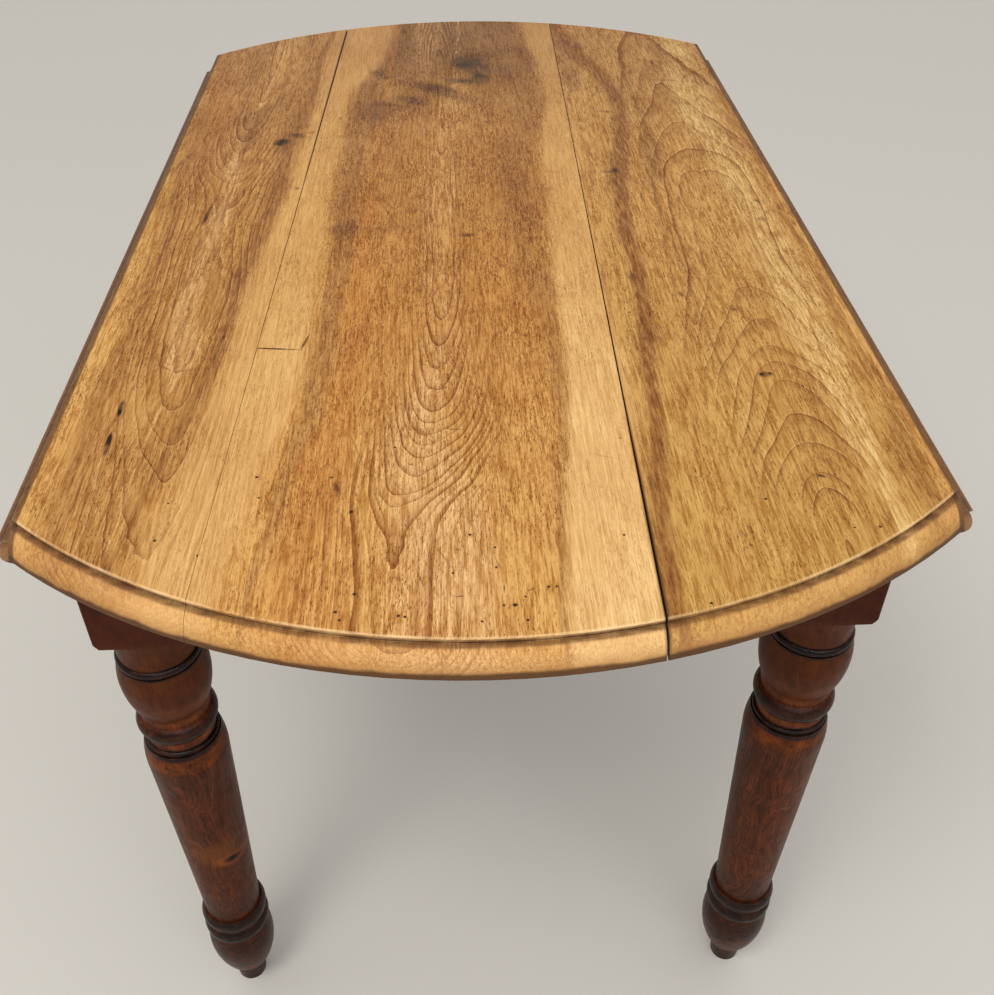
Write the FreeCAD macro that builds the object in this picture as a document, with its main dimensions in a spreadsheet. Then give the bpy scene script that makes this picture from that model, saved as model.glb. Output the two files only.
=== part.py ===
import FreeCAD, Part
import math
import os
import Sketcher
from FreeCAD import Placement, Rotation, Vector

# A walnut drop-leaf table: a fixed top of three lengthwise boards between two hinged
# leaves, on a pegged frame with four turned legs.  Millimetres.  The origin is on the
# floor under the middle of the table, +X across it, +Y along it, +Z up.  The leaves
# hang down at rest.

# ---------------------------------------------------------------- driving dimensions
SIZES = {
    # the oval top
    "top_height": 750,            # floor to the upper face
    "top_thickness": 21,
    "top_width": 650,             # fixed top, from leaf joint to leaf joint
    "corner_reach": 474,          # middle of the table to the corner at the joint
    "end_rise": 124,              # how far the curved end stands out past its corners
    "leaf_reach": 212,            # how far a leaf stands out past the joint
    "leaf_gap": 0.5,              # open joint between top and raised leaf
    "arris_ease": 1.4,            # small bevels along the two joint edges
    # moulding on the curved edges: a fillet, then a quarter round, then a small bevel
    "fillet_drop": 4,
    "fillet_ledge": 1.5,
    "quarter_round": 15,
    "arris_wear": 0.8,            # bevel that wear leaves on the moulding's upper edge
    # seams between the boards, measured across the table at its two ends
    "seam_left_front": -196,
    "seam_left_back": -152.7,
    "seam_left_gap_front": 0.2,
    "seam_left_gap_back": 1.4,
    "seam_right_front": 102.2,
    "seam_right_back": 134.1,
    "seam_right_gap_front": 1.7,
    "seam_right_gap_back": 0.3,
    # legs: the square block and the turned members, from the floor up
    "side_overhang": 11.5,        # joint edge of the fixed top to the leg's block
    "end_overhang": 24.5,         # corner of the top to the leg's block
    "block_side": 74,
    "block_length": 140,
    "block_bevel": 1.2,           # down the block's four long edges
    "block_corner_radius": 49.3,  # radius to which the lathe rounds the block's foot
    "block_corner_rise": 13,
    "foot_radius": 15.5,
    "foot_top_radius": 17.5,
    "foot_height": 27,
    "ball_root_radius": 19.5,
    "ball_radius": 34.6,
    "ball_top_radius": 31.5,
    "ball_lower_height": 59,
    "ball_upper_height": 24,
    "bead_root_radius": 31,
    "bead_gap": 1.5,
    "low_bead_radius": 34.5,
    "low_bead_height": 19,
    "ankle_bead_radius": 34,
    "ankle_bead_height": 19,
    "shaft_foot_radius": 28.8,
    "shaft_top_radius": 37.6,
    "shoulder_radius": 34.5,
    "shoulder_height": 25,
    "ring_radius": 33.6,
    "ring_height": 5,
    "waist_radius": 31,
    "waist_height": 11,
    "collar_radius": 36,
    "collar_height": 20,
    "collar_flare": 10,
    "bulb_root_radius": 31.5,
    "bulb_radius": 39.2,
    "bulb_top_radius": 36,
    "bulb_lower_height": 38,
    "bulb_upper_height": 22,
    "neck_ring_root": 34.4,
    "neck_ring_radius": 36.4,
    "neck_ring_height": 8,
    "neck_radius": 33.8,
    "neck_flare_radius": 36.8,
    "neck_height": 33,
    # rails and their mortise and tenon joints
    "rail_thickness": 22,
    "rail_height": 118,
    "rail_setback": 13,           # block face to rail face
    "tenon_thickness": 10,
    "tenon_length": 28,
    "tenon_shoulder": 14,
    "mortise_spare": 2,
    "peg_radius": 4,
    "peg_length": 34,
    "peg_setback": 14,            # joint shoulder to peg
    "peg_edge": 30,               # edge of the tenon to peg
    # wooden buttons that hold the top, and the groove in the rails that they hook into
    "groove_height": 8,
    "groove_depth": 9,
    "groove_drop": 12,            # top of the rail to the groove
    "button_width": 26,
    "button_length": 24,
    "button_spare": 0.3,
    "side_button_place": 215,
    "end_button_place": 110,
    # battens across the boards
    "batten_width": 50,
    "batten_thickness": 20,
    "batten_setback": 119.5,      # inside of the end rail to the batten
    "batten_spare": 1,
    "batten_bevel": 4,
    # pull-out lopers that carry the raised leaves
    "loper_width": 35,
    "loper_height": 28,
    "loper_place": 150,
    "loper_tail": 8,              # middle of the table to the loper's inner end
    "loper_set": 1,               # rail face to the loper's tip
    "loper_bevel": 9,
    "loper_grip_place": 42,
    "loper_grip_radius": 22,
    "loper_grip_depth": 9,
    "loper_stroke": 118,          # full draw, from the stop dowel to the keeper
    "stop_radius": 4,
    "stop_inset": 20,
    "stop_drop": 12,
    "slide_clearance": 0.4,
    "keeper_length": 50,
    "keeper_wall": 12,
    "keeper_floor": 9,
    "keeper_flange": 16,
    "keeper_flange_height": 10,
    # leaf hinges
    "hinge_place": 290,
    "hinge_length": 60,
    "hinge_drop": 19,             # upper face of the top to the pin
    "hinge_inset": 1.6,           # joint edge of the fixed top to the pin
    "pin_radius": 1.75,
    "pin_clearance": 0.05,
    "knuckle_radius": 3.5,
    "knuckle_gap": 0.3,
    "knuckle_notch": 0.7,         # room round the knuckles in the wood
    "plate_break": 0.5,           # plate's edge to the knuckle
    "plate_thickness": 1.8,
    "fixed_plate_width": 21,
    "leaf_plate_width": 45,
    # countersunk wood screws
    "small_head_radius": 3,
    "small_shank_radius": 1.5,
    "small_head_depth": 1.5,
    "small_screw_length": 13,
    "large_head_radius": 4,
    "large_shank_radius": 2,
    "large_head_depth": 2.2,
    "screw_bite": 13,             # how far a large screw reaches into a board
    "screw_edge": 28,             # seam to batten screw
}

# What follows from the driving dimensions.
LAYOUT = {
    "half_width": "Sizes.top_width / 2",
    "underside": "Sizes.top_height - Sizes.top_thickness",
    # each curved end is one arc through both corners and the crown
    "end_radius": "(half_width^2 + Sizes.end_rise^2) / (2 * Sizes.end_rise)",
    "end_centre": "Sizes.corner_reach + Sizes.end_rise - end_radius",
    # each leaf's edge is one arc from corner to corner
    "leaf_radius": "(Sizes.corner_reach^2 + Sizes.leaf_reach^2) / (2 * Sizes.leaf_reach)",
    "leaf_centre": "half_width + Sizes.leaf_reach - leaf_radius",
    "moulding_reach": "Sizes.fillet_ledge + Sizes.quarter_round",
    "moulding_bevel": "Sizes.top_thickness - Sizes.fillet_drop - Sizes.quarter_round",
    "seam_span": "Sizes.corner_reach + Sizes.end_rise + 40",
    "seam_left": "(Sizes.seam_left_front + Sizes.seam_left_back) / 2",
    "seam_right": "(Sizes.seam_right_front + Sizes.seam_right_back) / 2",
    # hinge pin, and the leaf measured from it
    "pin_across": "half_width - Sizes.hinge_inset",
    "pin_height": "Sizes.top_height - Sizes.hinge_drop",
    "leaf_edge": "Sizes.hinge_inset + Sizes.leaf_gap",
    "leaf_floor": "Sizes.hinge_drop - Sizes.top_thickness",
    "leaf_arc_centre": "leaf_centre - pin_across",
    # heights of the turned members, from the floor up
    "ball_foot": "Sizes.foot_height",
    "ball_belly": "ball_foot + Sizes.ball_lower_height",
    "ball_top": "ball_belly + Sizes.ball_upper_height",
    "low_bead_foot": "ball_top + Sizes.bead_gap",
    "low_bead_top": "low_bead_foot + Sizes.low_bead_height",
    "ankle_foot": "low_bead_top + Sizes.bead_gap",
    "ankle_top": "ankle_foot + Sizes.ankle_bead_height",
    # and from the block down
    "block_foot": "underside - Sizes.block_length",
    "neck_foot": "block_foot - Sizes.neck_height",
    "neck_ring_foot": "neck_foot - Sizes.neck_ring_height",
    "bulb_belly": "neck_ring_foot - Sizes.bulb_upper_height",
    "bulb_foot": "bulb_belly - Sizes.bulb_lower_height",
    "collar_top": "bulb_foot - Sizes.collar_flare",
    "collar_foot": "collar_top - Sizes.collar_height",
    "waist_foot": "collar_foot - Sizes.waist_height",
    "ring_foot": "waist_foot - Sizes.ring_height",
    "shaft_top": "ring_foot - Sizes.shoulder_height",
    # frame
    "half_block": "Sizes.block_side / 2",
    "leg_across": "half_width - Sizes.side_overhang - half_block",
    "leg_along": "Sizes.corner_reach - Sizes.end_overhang - half_block",
    "side_rail_face": "leg_across + half_block - Sizes.rail_setback",
    "end_rail_face": "leg_along + half_block - Sizes.rail_setback",
    "side_rail_span": "2 * (leg_along - half_block)",
    "end_rail_span": "2 * (leg_across - half_block)",
    "rail_foot": "underside - Sizes.rail_height",
    "tenon_line": "half_block - Sizes.rail_setback - Sizes.rail_thickness / 2",
    "tenon_foot": "rail_foot + Sizes.tenon_shoulder",
    "tenon_height": "Sizes.rail_height - 2 * Sizes.tenon_shoulder",
    "inner_face": "side_rail_face - Sizes.rail_thickness",
    "groove_foot": "underside - Sizes.groove_drop - Sizes.groove_height",
    "batten_along": ("end_rail_face - Sizes.rail_thickness - Sizes.batten_setback"
                     " - Sizes.batten_width / 2"),
    # lopers
    "loper_top": "underside - Sizes.slide_clearance",
    "loper_foot": "loper_top - Sizes.loper_height",
    "loper_tip": "side_rail_face - Sizes.loper_set",
    "stop_across": "Sizes.loper_tail + Sizes.stop_inset",
    "keeper_across": "stop_across + Sizes.stop_radius + Sizes.loper_stroke",
    "keeper_half": "Sizes.loper_width / 2 + Sizes.slide_clearance",
    "keeper_foot": "loper_foot - Sizes.slide_clearance - Sizes.keeper_floor",
    "keeper_screw_line": "keeper_half + Sizes.keeper_wall + Sizes.keeper_flange / 2",
    "notch_radius": "Sizes.knuckle_radius + Sizes.knuckle_notch",
}

doc = FreeCAD.newDocument("drop_leaf_table")


def fill_sheet(name, cells):
    """A sheet with one alias per row; each cell holds a number or a formula, as text."""
    sheet = doc.addObject("Spreadsheet::Sheet", name)
    for row, (alias, content) in enumerate(cells.items(), start=1):
        text = f"={content}" if isinstance(content, str) else str(content)
        sheet.set(f"A{row}", alias)
        sheet.set(f"B{row}", text)
        sheet.setAlias(f"B{row}", alias)
    doc.recompute()
    return sheet


sizes = fill_sheet("Sizes", SIZES)
layout = fill_sheet("Layout", LAYOUT)
nodes = []


def number(expression):
    """The present value of an expression, for a sketch's first drawing."""
    return float(sizes.evalExpression(expression))


def bind(item, **expressions):
    """Tie properties to the sheet; a double underscore stands for a dot."""
    for path, expression in expressions.items():
        item.setExpression(path.replace("__", "."), expression)
    return item


def put(item, across="0", along="0", height="0", turn=0, tilt=0):
    """Place an item: tilted about Y first, then turned about Z, then moved."""
    rotation = Rotation(Vector(0, 0, 1), turn) * Rotation(Vector(0, 1, 0), tilt)
    item.Placement = Placement(Vector(), rotation)
    return bind(item, Placement__Base__x=across, Placement__Base__y=along,
                Placement__Base__z=height)


def node(item, label):
    """Mark an item as a finished sub-part."""
    item.Label = label
    nodes.append(item)
    return item


# ------------------------------------------------------------------- solids by formula
def box(name, start, size):
    """A box from its lowest corner and its three lengths, all expressions."""
    item = doc.addObject("Part::Box", name)
    bind(item, Length=size[0], Width=size[1], Height=size[2])
    return put(item, *start)


def rod(name, start, radius, length, axis="z"):
    """A cylinder along one axis."""
    item = doc.addObject("Part::Cylinder", name)
    bind(item, Radius=radius, Height=length)
    put(item, *start)
    if axis == "x":
        item.Placement.Rotation = Rotation(Vector(0, 1, 0), 90)
    if axis == "y":
        item.Placement.Rotation = Rotation(Vector(1, 0, 0), -90)
    return item


def group(name, items):
    """Separate solids that count as one item."""
    item = doc.addObject("Part::Compound", name)
    item.Links = items
    return item


def joined(name, items):
    item = doc.addObject("Part::MultiFuse", name)
    item.Shapes = items
    return item


def cut(name, base, tool):
    item = doc.addObject("Part::Cut", name)
    item.Base = base
    item.Tool = tool
    return item


def screw(name, place, size, length):
    """A countersunk wood screw driven upwards, its head flush with the face it enters."""
    across, along, height = place
    head = doc.addObject("Part::Cone", name + "Head")
    bind(head, Radius1=f"Sizes.{size}_head_radius", Radius2=f"Sizes.{size}_shank_radius",
         Height=f"Sizes.{size}_head_depth")
    put(head, across, along, height)
    shank = rod(name + "Shank", (across, along, f"{height} + Sizes.{size}_head_depth"),
                f"Sizes.{size}_shank_radius", f"{length} - Sizes.{size}_head_depth")
    return joined(name, [head, shank])


# ------------------------------------------------------------------------ sketch helpers
def new_body(name):
    return doc.addObject("PartDesign::Body", name)


def new_sketch(body, plane, name, shift="0", lift="0"):
    """A sketch on one of the body's origin planes, shifted along X and lifted off it."""
    sketch = body.newObject("Sketcher::SketchObject", name)
    origin_plane = [item for item in body.Origin.OriginFeatures if item.Role == plane][0]
    sketch.AttachmentSupport = [(origin_plane, "")]
    sketch.MapMode = "FlatFace"
    bind(sketch, AttachmentOffset__Base__x=shift, AttachmentOffset__Base__z=lift)
    return sketch


def arc_between(start, end, radius, turn):
    """The short arc of a given radius from start to end, turning left or right."""
    chord = end - start
    rise = math.sqrt(max(radius**2 - (chord.Length / 2)**2, 0))
    side = 1 if turn == "left" else -1
    normal = Vector(-chord.y, chord.x, 0).normalize() * side
    centre = (start + end) / 2 + normal * rise
    first, last = (start, end) if turn == "left" else (end, start)
    circle = Part.Circle(centre, Vector(0, 0, 1), radius)
    angle_first = math.atan2(first.y - centre.y, first.x - centre.x)
    angle_last = math.atan2(last.y - centre.y, last.x - centre.x)
    return Part.ArcOfCircle(circle, angle_first, angle_last)


def draw(sketch, corners):
    """A closed outline.  A corner is (x, y), reached by a straight line, or
    (x, y, radius, turn), reached by an arc.  All but turn are expressions."""
    points = [Vector(number(corner[0]), number(corner[1]), 0) for corner in corners]
    ends = []
    for index, corner in enumerate(corners):
        start = points[index - 1]
        end = points[index]
        if len(corner) == 2:
            edge = sketch.addGeometry(Part.LineSegment(start, end), False)
            ends.append((edge, 1, 2))
            continue
        radius, turn = corner[2:]
        edge = sketch.addGeometry(arc_between(start, end, number(radius), turn), False)
        size = sketch.addConstraint(Sketcher.Constraint("Radius", edge, number(radius)))
        sketch.setExpression(f"Constraints[{size}]", radius)
        ends.append((edge, 1, 2) if turn == "left" else (edge, 2, 1))
    for index, corner in enumerate(corners):
        edge, _, last = ends[index]
        following, first, _ = ends[(index + 1) % len(corners)]
        sketch.addConstraint(Sketcher.Constraint("Coincident", edge, last, following, first))
        for axis, expression, line in (("X", corner[0], -2), ("Y", corner[1], -1)):
            if expression == "0":
                sketch.addConstraint(Sketcher.Constraint("PointOnObject", edge, last, line))
                continue
            place = sketch.addConstraint(Sketcher.Constraint(
                "Distance" + axis, -1, 1, edge, last, number(expression)))
            sketch.setExpression(f"Constraints[{place}]", expression)
    return sketch


def pad(body, name, sketch, length, midplane=False):
    feature = body.newObject("PartDesign::Pad", name)
    feature.Profile = sketch
    feature.Midplane = midplane
    return bind(feature, Length=length)


def pocket(body, name, sketch, length=None, midplane=False):
    """Cut down from the sketch, right through if no length is given."""
    feature = body.newObject("PartDesign::Pocket", name)
    feature.Profile = sketch
    feature.Midplane = midplane
    if length is None:
        feature.Type = 1
        return feature
    return bind(feature, Length=length)


def turned(body, kind, name, sketch, angle=360):
    """A Revolution or Groove about the sketch's upright axis, half to each side."""
    feature = body.newObject("PartDesign::" + kind, name)
    feature.Profile = sketch
    feature.ReferenceAxis = (sketch, ["V_Axis"])
    feature.Midplane = angle < 360
    feature.Angle = angle
    return feature


# --------------------------------------------------------------------------- moulding
SAW_MARGIN = "2"        # the board is sawn this much oversize, then moulded
CLEAR = "3"             # how far a cutting outline runs past the wood


def mould(body, name, plane, centre, radius, top, side, angle):
    """Run the edge moulding round an arc: worn arris, fillet, ledge, quarter round,
    bevelled foot."""
    sketch = new_sketch(body, plane, name + "Profile", shift=centre)
    sign = "" if side > 0 else "-"
    worn = f"{sign}({radius} - Sizes.arris_wear)"
    arris = f"{sign}({radius})"
    ledge = f"{sign}({radius} + Sizes.fillet_ledge)"
    nose = f"{sign}({radius} + Layout.moulding_reach)"
    heel = f"{sign}({radius} + Layout.moulding_reach - Layout.moulding_bevel)"
    beyond = f"{sign}({radius} + Layout.moulding_reach + {SAW_MARGIN} + {CLEAR})"
    foot = f"{top} - Sizes.top_thickness"
    shelf = f"{top} - Sizes.fillet_drop"
    equator = f"{shelf} - Sizes.quarter_round"
    onward = "right" if side > 0 else "left"
    draw(sketch, [
        (beyond, f"{foot} - {CLEAR}"),
        (beyond, f"{top} + {CLEAR}"),
        (worn, f"{top} + {CLEAR}"),
        (worn, top),
        (arris, f"{top} - Sizes.arris_wear"),
        (arris, shelf),
        (ledge, shelf),
        (nose, equator, "Sizes.quarter_round", onward),
        (heel, foot),
        (heel, f"{foot} - {CLEAR}"),
    ])
    return turned(body, "Groove", name, sketch, angle)


def ease_joint(body, name, edge, top, outward):
    """Bevel the two long arrises of a joint edge that faces outward (+1) or inward."""
    foot = f"{top} - Sizes.top_thickness"
    back = f"{edge} - ({outward}) * Sizes.arris_ease"
    clear = f"{edge} + ({outward}) * {CLEAR}"
    sketch = new_sketch(body, "XZ_Plane", name + "Profile")
    draw(sketch, [(back, foot), (edge, f"{foot} + Sizes.arris_ease"),
                  (clear, f"{foot} + Sizes.arris_ease"), (clear, f"{foot} - {CLEAR}"),
                  (back, f"{foot} - {CLEAR}")])
    upper = new_sketch(body, "XZ_Plane", name + "UpperProfile")
    half_ease = "Sizes.arris_ease / 2"
    shallow = f"{edge} - ({outward}) * {half_ease}"
    draw(upper, [(shallow, top), (edge, f"{top} - {half_ease}"),
                 (clear, f"{top} - {half_ease}"), (clear, f"{top} + {CLEAR}"),
                 (shallow, f"{top} + {CLEAR}")])
    pocket(body, name, sketch, "4 * Layout.seam_span", midplane=True)
    pocket(body, name + "Upper", upper, "4 * Layout.seam_span", midplane=True)


# ---------------------------------------------------------------------------- hinges
HINGE_PLACES = ("-Sizes.hinge_place", "0", "Sizes.hinge_place")
SIDES = (("right", 1, 0), ("left", -1, 180))


def hinge_parts(side, leaf):
    """Three hinge leaves of one side, measured outward from the pin: plates, screws, and
    what the wood needs cut away for them."""
    tag = ("Leaf" if leaf else "Fixed") + side.capitalize()
    sign = "" if leaf else "-"
    width = "Sizes.leaf_plate_width" if leaf else "Sizes.fixed_plate_width"
    break_line = "(Sizes.knuckle_radius + Sizes.plate_break)"
    third = "Sizes.hinge_length / 3"
    gap = "Sizes.knuckle_gap / 2"
    plates = []
    screws = []
    recesses = []
    for index, along in enumerate(HINGE_PLACES):
        stem = f"{tag}{index}"
        near = break_line if leaf else f"-{width}"
        low = f"{along} - Sizes.hinge_length / 2"
        plate = box(stem + "Plate", (near, low, "Layout.leaf_floor"),
                    (f"{width} - {break_line}", "Sizes.hinge_length",
                     "Sizes.plate_thickness"))
        if leaf:
            spans = [(f"{along} - {third} / 2 + {gap}", f"{third} - 2 * {gap}")]
        else:
            spans = [(low, f"{third} - {gap}"),
                     (f"{along} + {third} / 2 + {gap}", f"{third} - {gap}")]
        pieces = [plate]
        for part, (start, length) in enumerate(spans):
            tab_start = "0" if leaf else f"-{break_line}"
            pieces.append(box(f"{stem}Tab{part}", (tab_start, start, "Layout.leaf_floor"),
                              (break_line, length, "Sizes.plate_thickness")))
            pieces.append(rod(f"{stem}Knuckle{part}", ("0", start, "0"),
                              "Sizes.knuckle_radius", length, "y"))
        solid = joined(stem + "Solid", pieces)
        bore = rod(stem + "Bore", ("0", f"{low} - 1", "0"),
                   "Sizes.pin_radius + Sizes.pin_clearance", "Sizes.hinge_length + 2", "y")
        middle = f"{sign}({width} + {break_line}) / 2"
        places = ["-0.35", "0.35"]
        own_screws = [
            screw(f"{stem}Screw{part}",
                  (middle, f"{along} + {share} * Sizes.hinge_length", "Layout.leaf_floor"),
                  "small", "Sizes.small_screw_length")
            for part, share in enumerate(places)]
        screws += own_screws
        plates.append(cut(stem, solid, group(stem + "Holes", [bore] + own_screws)))
        recesses.append(box(stem + "Recess", ("0" if leaf else f"-{width}", low,
                                              "Layout.leaf_floor"),
                            (width, "Sizes.hinge_length", "Sizes.plate_thickness")))
        recesses.append(rod(stem + "Notch", ("0", f"{low} - Sizes.knuckle_notch", "0"),
                            "Layout.notch_radius",
                            "Sizes.hinge_length + 2 * Sizes.knuckle_notch", "y"))
    plate_group = group(tag + "Plates", plates)
    screw_group = group(tag + "Screws", screws)
    tools = group(tag + "Cuts", recesses + screws)
    return plate_group, screw_group, tools


def at_hinge(item, sign, turn, hanging=False):
    """Carry something measured outward from the pin to its side of the table."""
    return put(item, f"{sign} * Layout.pin_across", "0", "Layout.pin_height", turn,
               90 if hanging else 0)


# -------------------------------------------------------------------------- fixed top
def end_outline(radius, half, centre):
    """The whole fixed top: straight joint edges and two arcs."""
    corner = f"{centre} + sqrt(({radius})^2 - ({half})^2)"
    return [(f"-({half})", f"-({corner})"),
            (half, f"-({corner})", radius, "left"),
            (half, corner),
            (f"-({half})", corner, radius, "left")]


def seam_line(seam, side):
    """Front and back of one board's edge at a seam: half the open gap off its line."""
    sign = "+" if side > 0 else "-"
    return [f"Sizes.{seam}_{end} {sign} Sizes.{seam}_gap_{end} / 2"
            for end in ("front", "back")]


def board(name, left_seam, right_seam):
    """One lengthwise board of the fixed top."""
    body = new_body(name)
    outline = new_sketch(body, "XY_Plane", name + "Outline", lift="Layout.underside")
    sawn = f"Layout.end_radius + Layout.moulding_reach + {SAW_MARGIN}"
    draw(outline, end_outline(sawn, "Layout.half_width", "Layout.end_centre"))
    pad(body, name + "Slab", outline, "Sizes.top_thickness")
    mould(body, name + "FrontMoulding", "YZ_Plane", "-Layout.end_centre",
          "Layout.end_radius", "Sizes.top_height", -1, 150)
    mould(body, name + "BackMoulding", "YZ_Plane", "Layout.end_centre",
          "Layout.end_radius", "Sizes.top_height", 1, 150)
    far = "(Layout.half_width + 50)"
    span = "Layout.seam_span"
    for seam, side in ((left_seam, 1), (right_seam, -1)):
        if seam is None:
            ease_joint(body, f"{name}Ease", f"{-side} * Layout.half_width",
                       "Sizes.top_height", -side)
            continue
        front, back = seam_line(seam, side)
        waste = new_sketch(body, "XY_Plane", f"{name}{seam}", lift="Sizes.top_height")
        draw(waste, [(front, f"-{span}"), (back, span),
                     (f"{-side} * {far}", span), (f"{-side} * {far}", f"-{span}")])
        pocket(body, f"{name}Trim{seam}", waste)
    return body


# --------------------------------------------------------------------------- leaves
def leaf(side, sign, turn, tools):
    """A leaf, drawn raised and measured from its pin, then hung."""
    name = "Leaf" + side.capitalize()
    body = new_body(name + "Board")
    outline = new_sketch(body, "XY_Plane", name + "Outline", lift="Layout.leaf_floor")
    sawn = f"(Layout.leaf_radius + Layout.moulding_reach + {SAW_MARGIN})"
    corner = f"sqrt({sawn}^2 - (Layout.leaf_edge - Layout.leaf_arc_centre)^2)"
    draw(outline, [("Layout.leaf_edge", f"-{corner}"),
                   ("Layout.leaf_edge", corner, sawn, "left")])
    pad(body, name + "Slab", outline, "Sizes.top_thickness")
    mould(body, name + "Moulding", "XZ_Plane", "Layout.leaf_arc_centre",
          "Layout.leaf_radius", "Sizes.hinge_drop", 1, 170)
    ease_joint(body, name + "Ease", "Layout.leaf_edge", "Sizes.hinge_drop", -1)
    finished = cut(name, body, tools)
    return node(at_hinge(finished, sign, turn, hanging=True), f"leaf_{side}")


# ----------------------------------------------------------------------------- legs
def arc_radius(rise, depth):
    """Radius of an arc that swells by depth over a rise, upright at its widest."""
    return f"(({rise})^2 + ({depth})^2) / (2 * ({depth}))"


def bead(root, crown, foot, top):
    """Two corners of a half-round bead, and the arc between them."""
    radius = arc_radius(f"({top} - {foot}) / 2", f"{crown} - {root}")
    return [(root, foot), (root, top, radius, "left")]


def leg_profile():
    """The turning, from the floor to the underside of the block."""
    corners = [("0", "0"), ("Sizes.foot_radius", "0"),
               ("Sizes.foot_top_radius", "Layout.ball_foot"),
               ("Sizes.ball_root_radius", "Layout.ball_foot")]
    swell = "Sizes.ball_radius - Sizes.ball_root_radius"
    corners.append(("Sizes.ball_radius", "Layout.ball_belly",
                    arc_radius("Sizes.ball_lower_height", swell), "left"))
    swell = "Sizes.ball_radius - Sizes.ball_top_radius"
    corners.append(("Sizes.ball_top_radius", "Layout.ball_top",
                    arc_radius("Sizes.ball_upper_height", swell), "left"))
    corners += bead("Sizes.bead_root_radius", "Sizes.low_bead_radius",
                    "Layout.low_bead_foot", "Layout.low_bead_top")
    corners += bead("Sizes.bead_root_radius", "Sizes.ankle_bead_radius",
                    "Layout.ankle_foot", "Layout.ankle_top")
    corners += [("Sizes.shaft_foot_radius", "Layout.ankle_top"),
                ("Sizes.shaft_top_radius", "Layout.shaft_top")]
    swell = "Sizes.shaft_top_radius - Sizes.shoulder_radius"
    corners.append(("Sizes.shoulder_radius", "Layout.ring_foot",
                    arc_radius("Sizes.shoulder_height", swell), "left"))
    corners += bead("Sizes.waist_radius", "Sizes.ring_radius",
                    "Layout.ring_foot", "Layout.waist_foot")
    corners += bead("Sizes.waist_radius", "Sizes.collar_radius",
                    "Layout.collar_foot", "Layout.collar_top")
    corners.append(("Sizes.bulb_root_radius", "Layout.bulb_foot"))
    swell = "Sizes.bulb_radius - Sizes.bulb_root_radius"
    corners.append(("Sizes.bulb_radius", "Layout.bulb_belly",
                    arc_radius("Sizes.bulb_lower_height", swell), "left"))
    swell = "Sizes.bulb_radius - Sizes.bulb_top_radius"
    corners.append(("Sizes.bulb_top_radius", "Layout.neck_ring_foot",
                    arc_radius("Sizes.bulb_upper_height", swell), "left"))
    corners += bead("Sizes.neck_ring_root", "Sizes.neck_ring_radius",
                    "Layout.neck_ring_foot", "Layout.neck_foot")
    flare = "Sizes.neck_flare_radius - Sizes.neck_radius"
    corners += [("Sizes.neck_radius", "Layout.neck_foot"),
                ("Sizes.neck_flare_radius", "Layout.block_foot",
                 arc_radius("Sizes.neck_height", flare), "right"),
                ("0", "Layout.block_foot")]
    return corners


def bevelled_square(half, bevel):
    """A square about the middle, given half its side, with its corners cut off."""
    near = f"({half} - {bevel})"
    return [(f"-{half}", f"-{near}"), (f"-{near}", f"-{half}"), (near, f"-{half}"),
            (half, f"-{near}"), (half, near), (near, half), (f"-{near}", half),
            (f"-{half}", near)]


def rectangle(left, low, width, height):
    right = f"{left} + {width}"
    high = f"{low} + {height}"
    return [(left, low), (right, low), (right, high), (left, high)]


def leg(name, turn, across, along):
    """One leg, drawn for the right back corner and turned to its own."""
    stem = name.title().replace("_", "")
    body = new_body(stem + "Body")
    turning = draw(new_sketch(body, "XZ_Plane", stem + "Turning"), leg_profile())
    turned(body, "Revolution", stem + "Turned", turning)
    square = new_sketch(body, "XY_Plane", stem + "Square", lift="Layout.block_foot")
    draw(square, bevelled_square("Layout.half_block", "Sizes.block_bevel"))
    pad(body, stem + "Block", square, "Sizes.block_length")
    # the lathe rounds the block's lower corners
    corner = new_sketch(body, "XZ_Plane", stem + "Corner")
    outside = f"Sizes.block_side + {CLEAR}"
    draw(corner, [("Sizes.block_corner_radius", f"Layout.block_foot - {CLEAR}"),
                  (outside, f"Layout.block_foot - {CLEAR}"),
                  (outside, "Layout.block_foot + Sizes.block_corner_rise"),
                  (f"Layout.half_block * sqrt(2) + {CLEAR}",
                   "Layout.block_foot + Sizes.block_corner_rise"),
                  ("Sizes.block_corner_radius", "Layout.block_foot")])
    turned(body, "Groove", stem + "Rounding", corner)
    # one mortise for the side rail's tenon and one for the end rail's
    depth = "Sizes.tenon_length + Sizes.mortise_spare"
    slot_left = "Layout.tenon_line - Sizes.tenon_thickness / 2"
    side = new_sketch(body, "XZ_Plane", stem + "SideSlot", lift="Layout.half_block")
    draw(side, rectangle(slot_left, "Layout.tenon_foot", "Sizes.tenon_thickness",
                         "Layout.tenon_height"))
    pocket(body, stem + "SideMortise", side, depth)
    end = new_sketch(body, "YZ_Plane", stem + "EndSlot", lift="-Layout.half_block")
    draw(end, rectangle(slot_left, "Layout.tenon_foot", "Sizes.tenon_thickness",
                        "Layout.tenon_height"))
    pocket(body, stem + "EndMortise", end, depth).Reversed = True
    put(body, across, along, turn=turn)
    # two pegs through each mortise
    pegs = []
    shoulder_line = "-(Layout.half_block - Sizes.peg_setback)"
    start = "Layout.half_block - Sizes.peg_length"
    heights = ("Layout.tenon_foot + Sizes.peg_edge",
               "Layout.tenon_foot + Layout.tenon_height - Sizes.peg_edge")
    for index, height in enumerate(heights):
        pegs.append(rod(f"{stem}SidePeg{index}", (start, shoulder_line, height),
                        "Sizes.peg_radius", "Sizes.peg_length", "x"))
        pegs.append(rod(f"{stem}EndPeg{index}", (shoulder_line, start, height),
                        "Sizes.peg_radius", "Sizes.peg_length", "y"))
    peg_set = put(group(stem + "Pegs", pegs), across, along, turn=turn)
    return node(cut(stem, body, peg_set), name), peg_set


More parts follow.
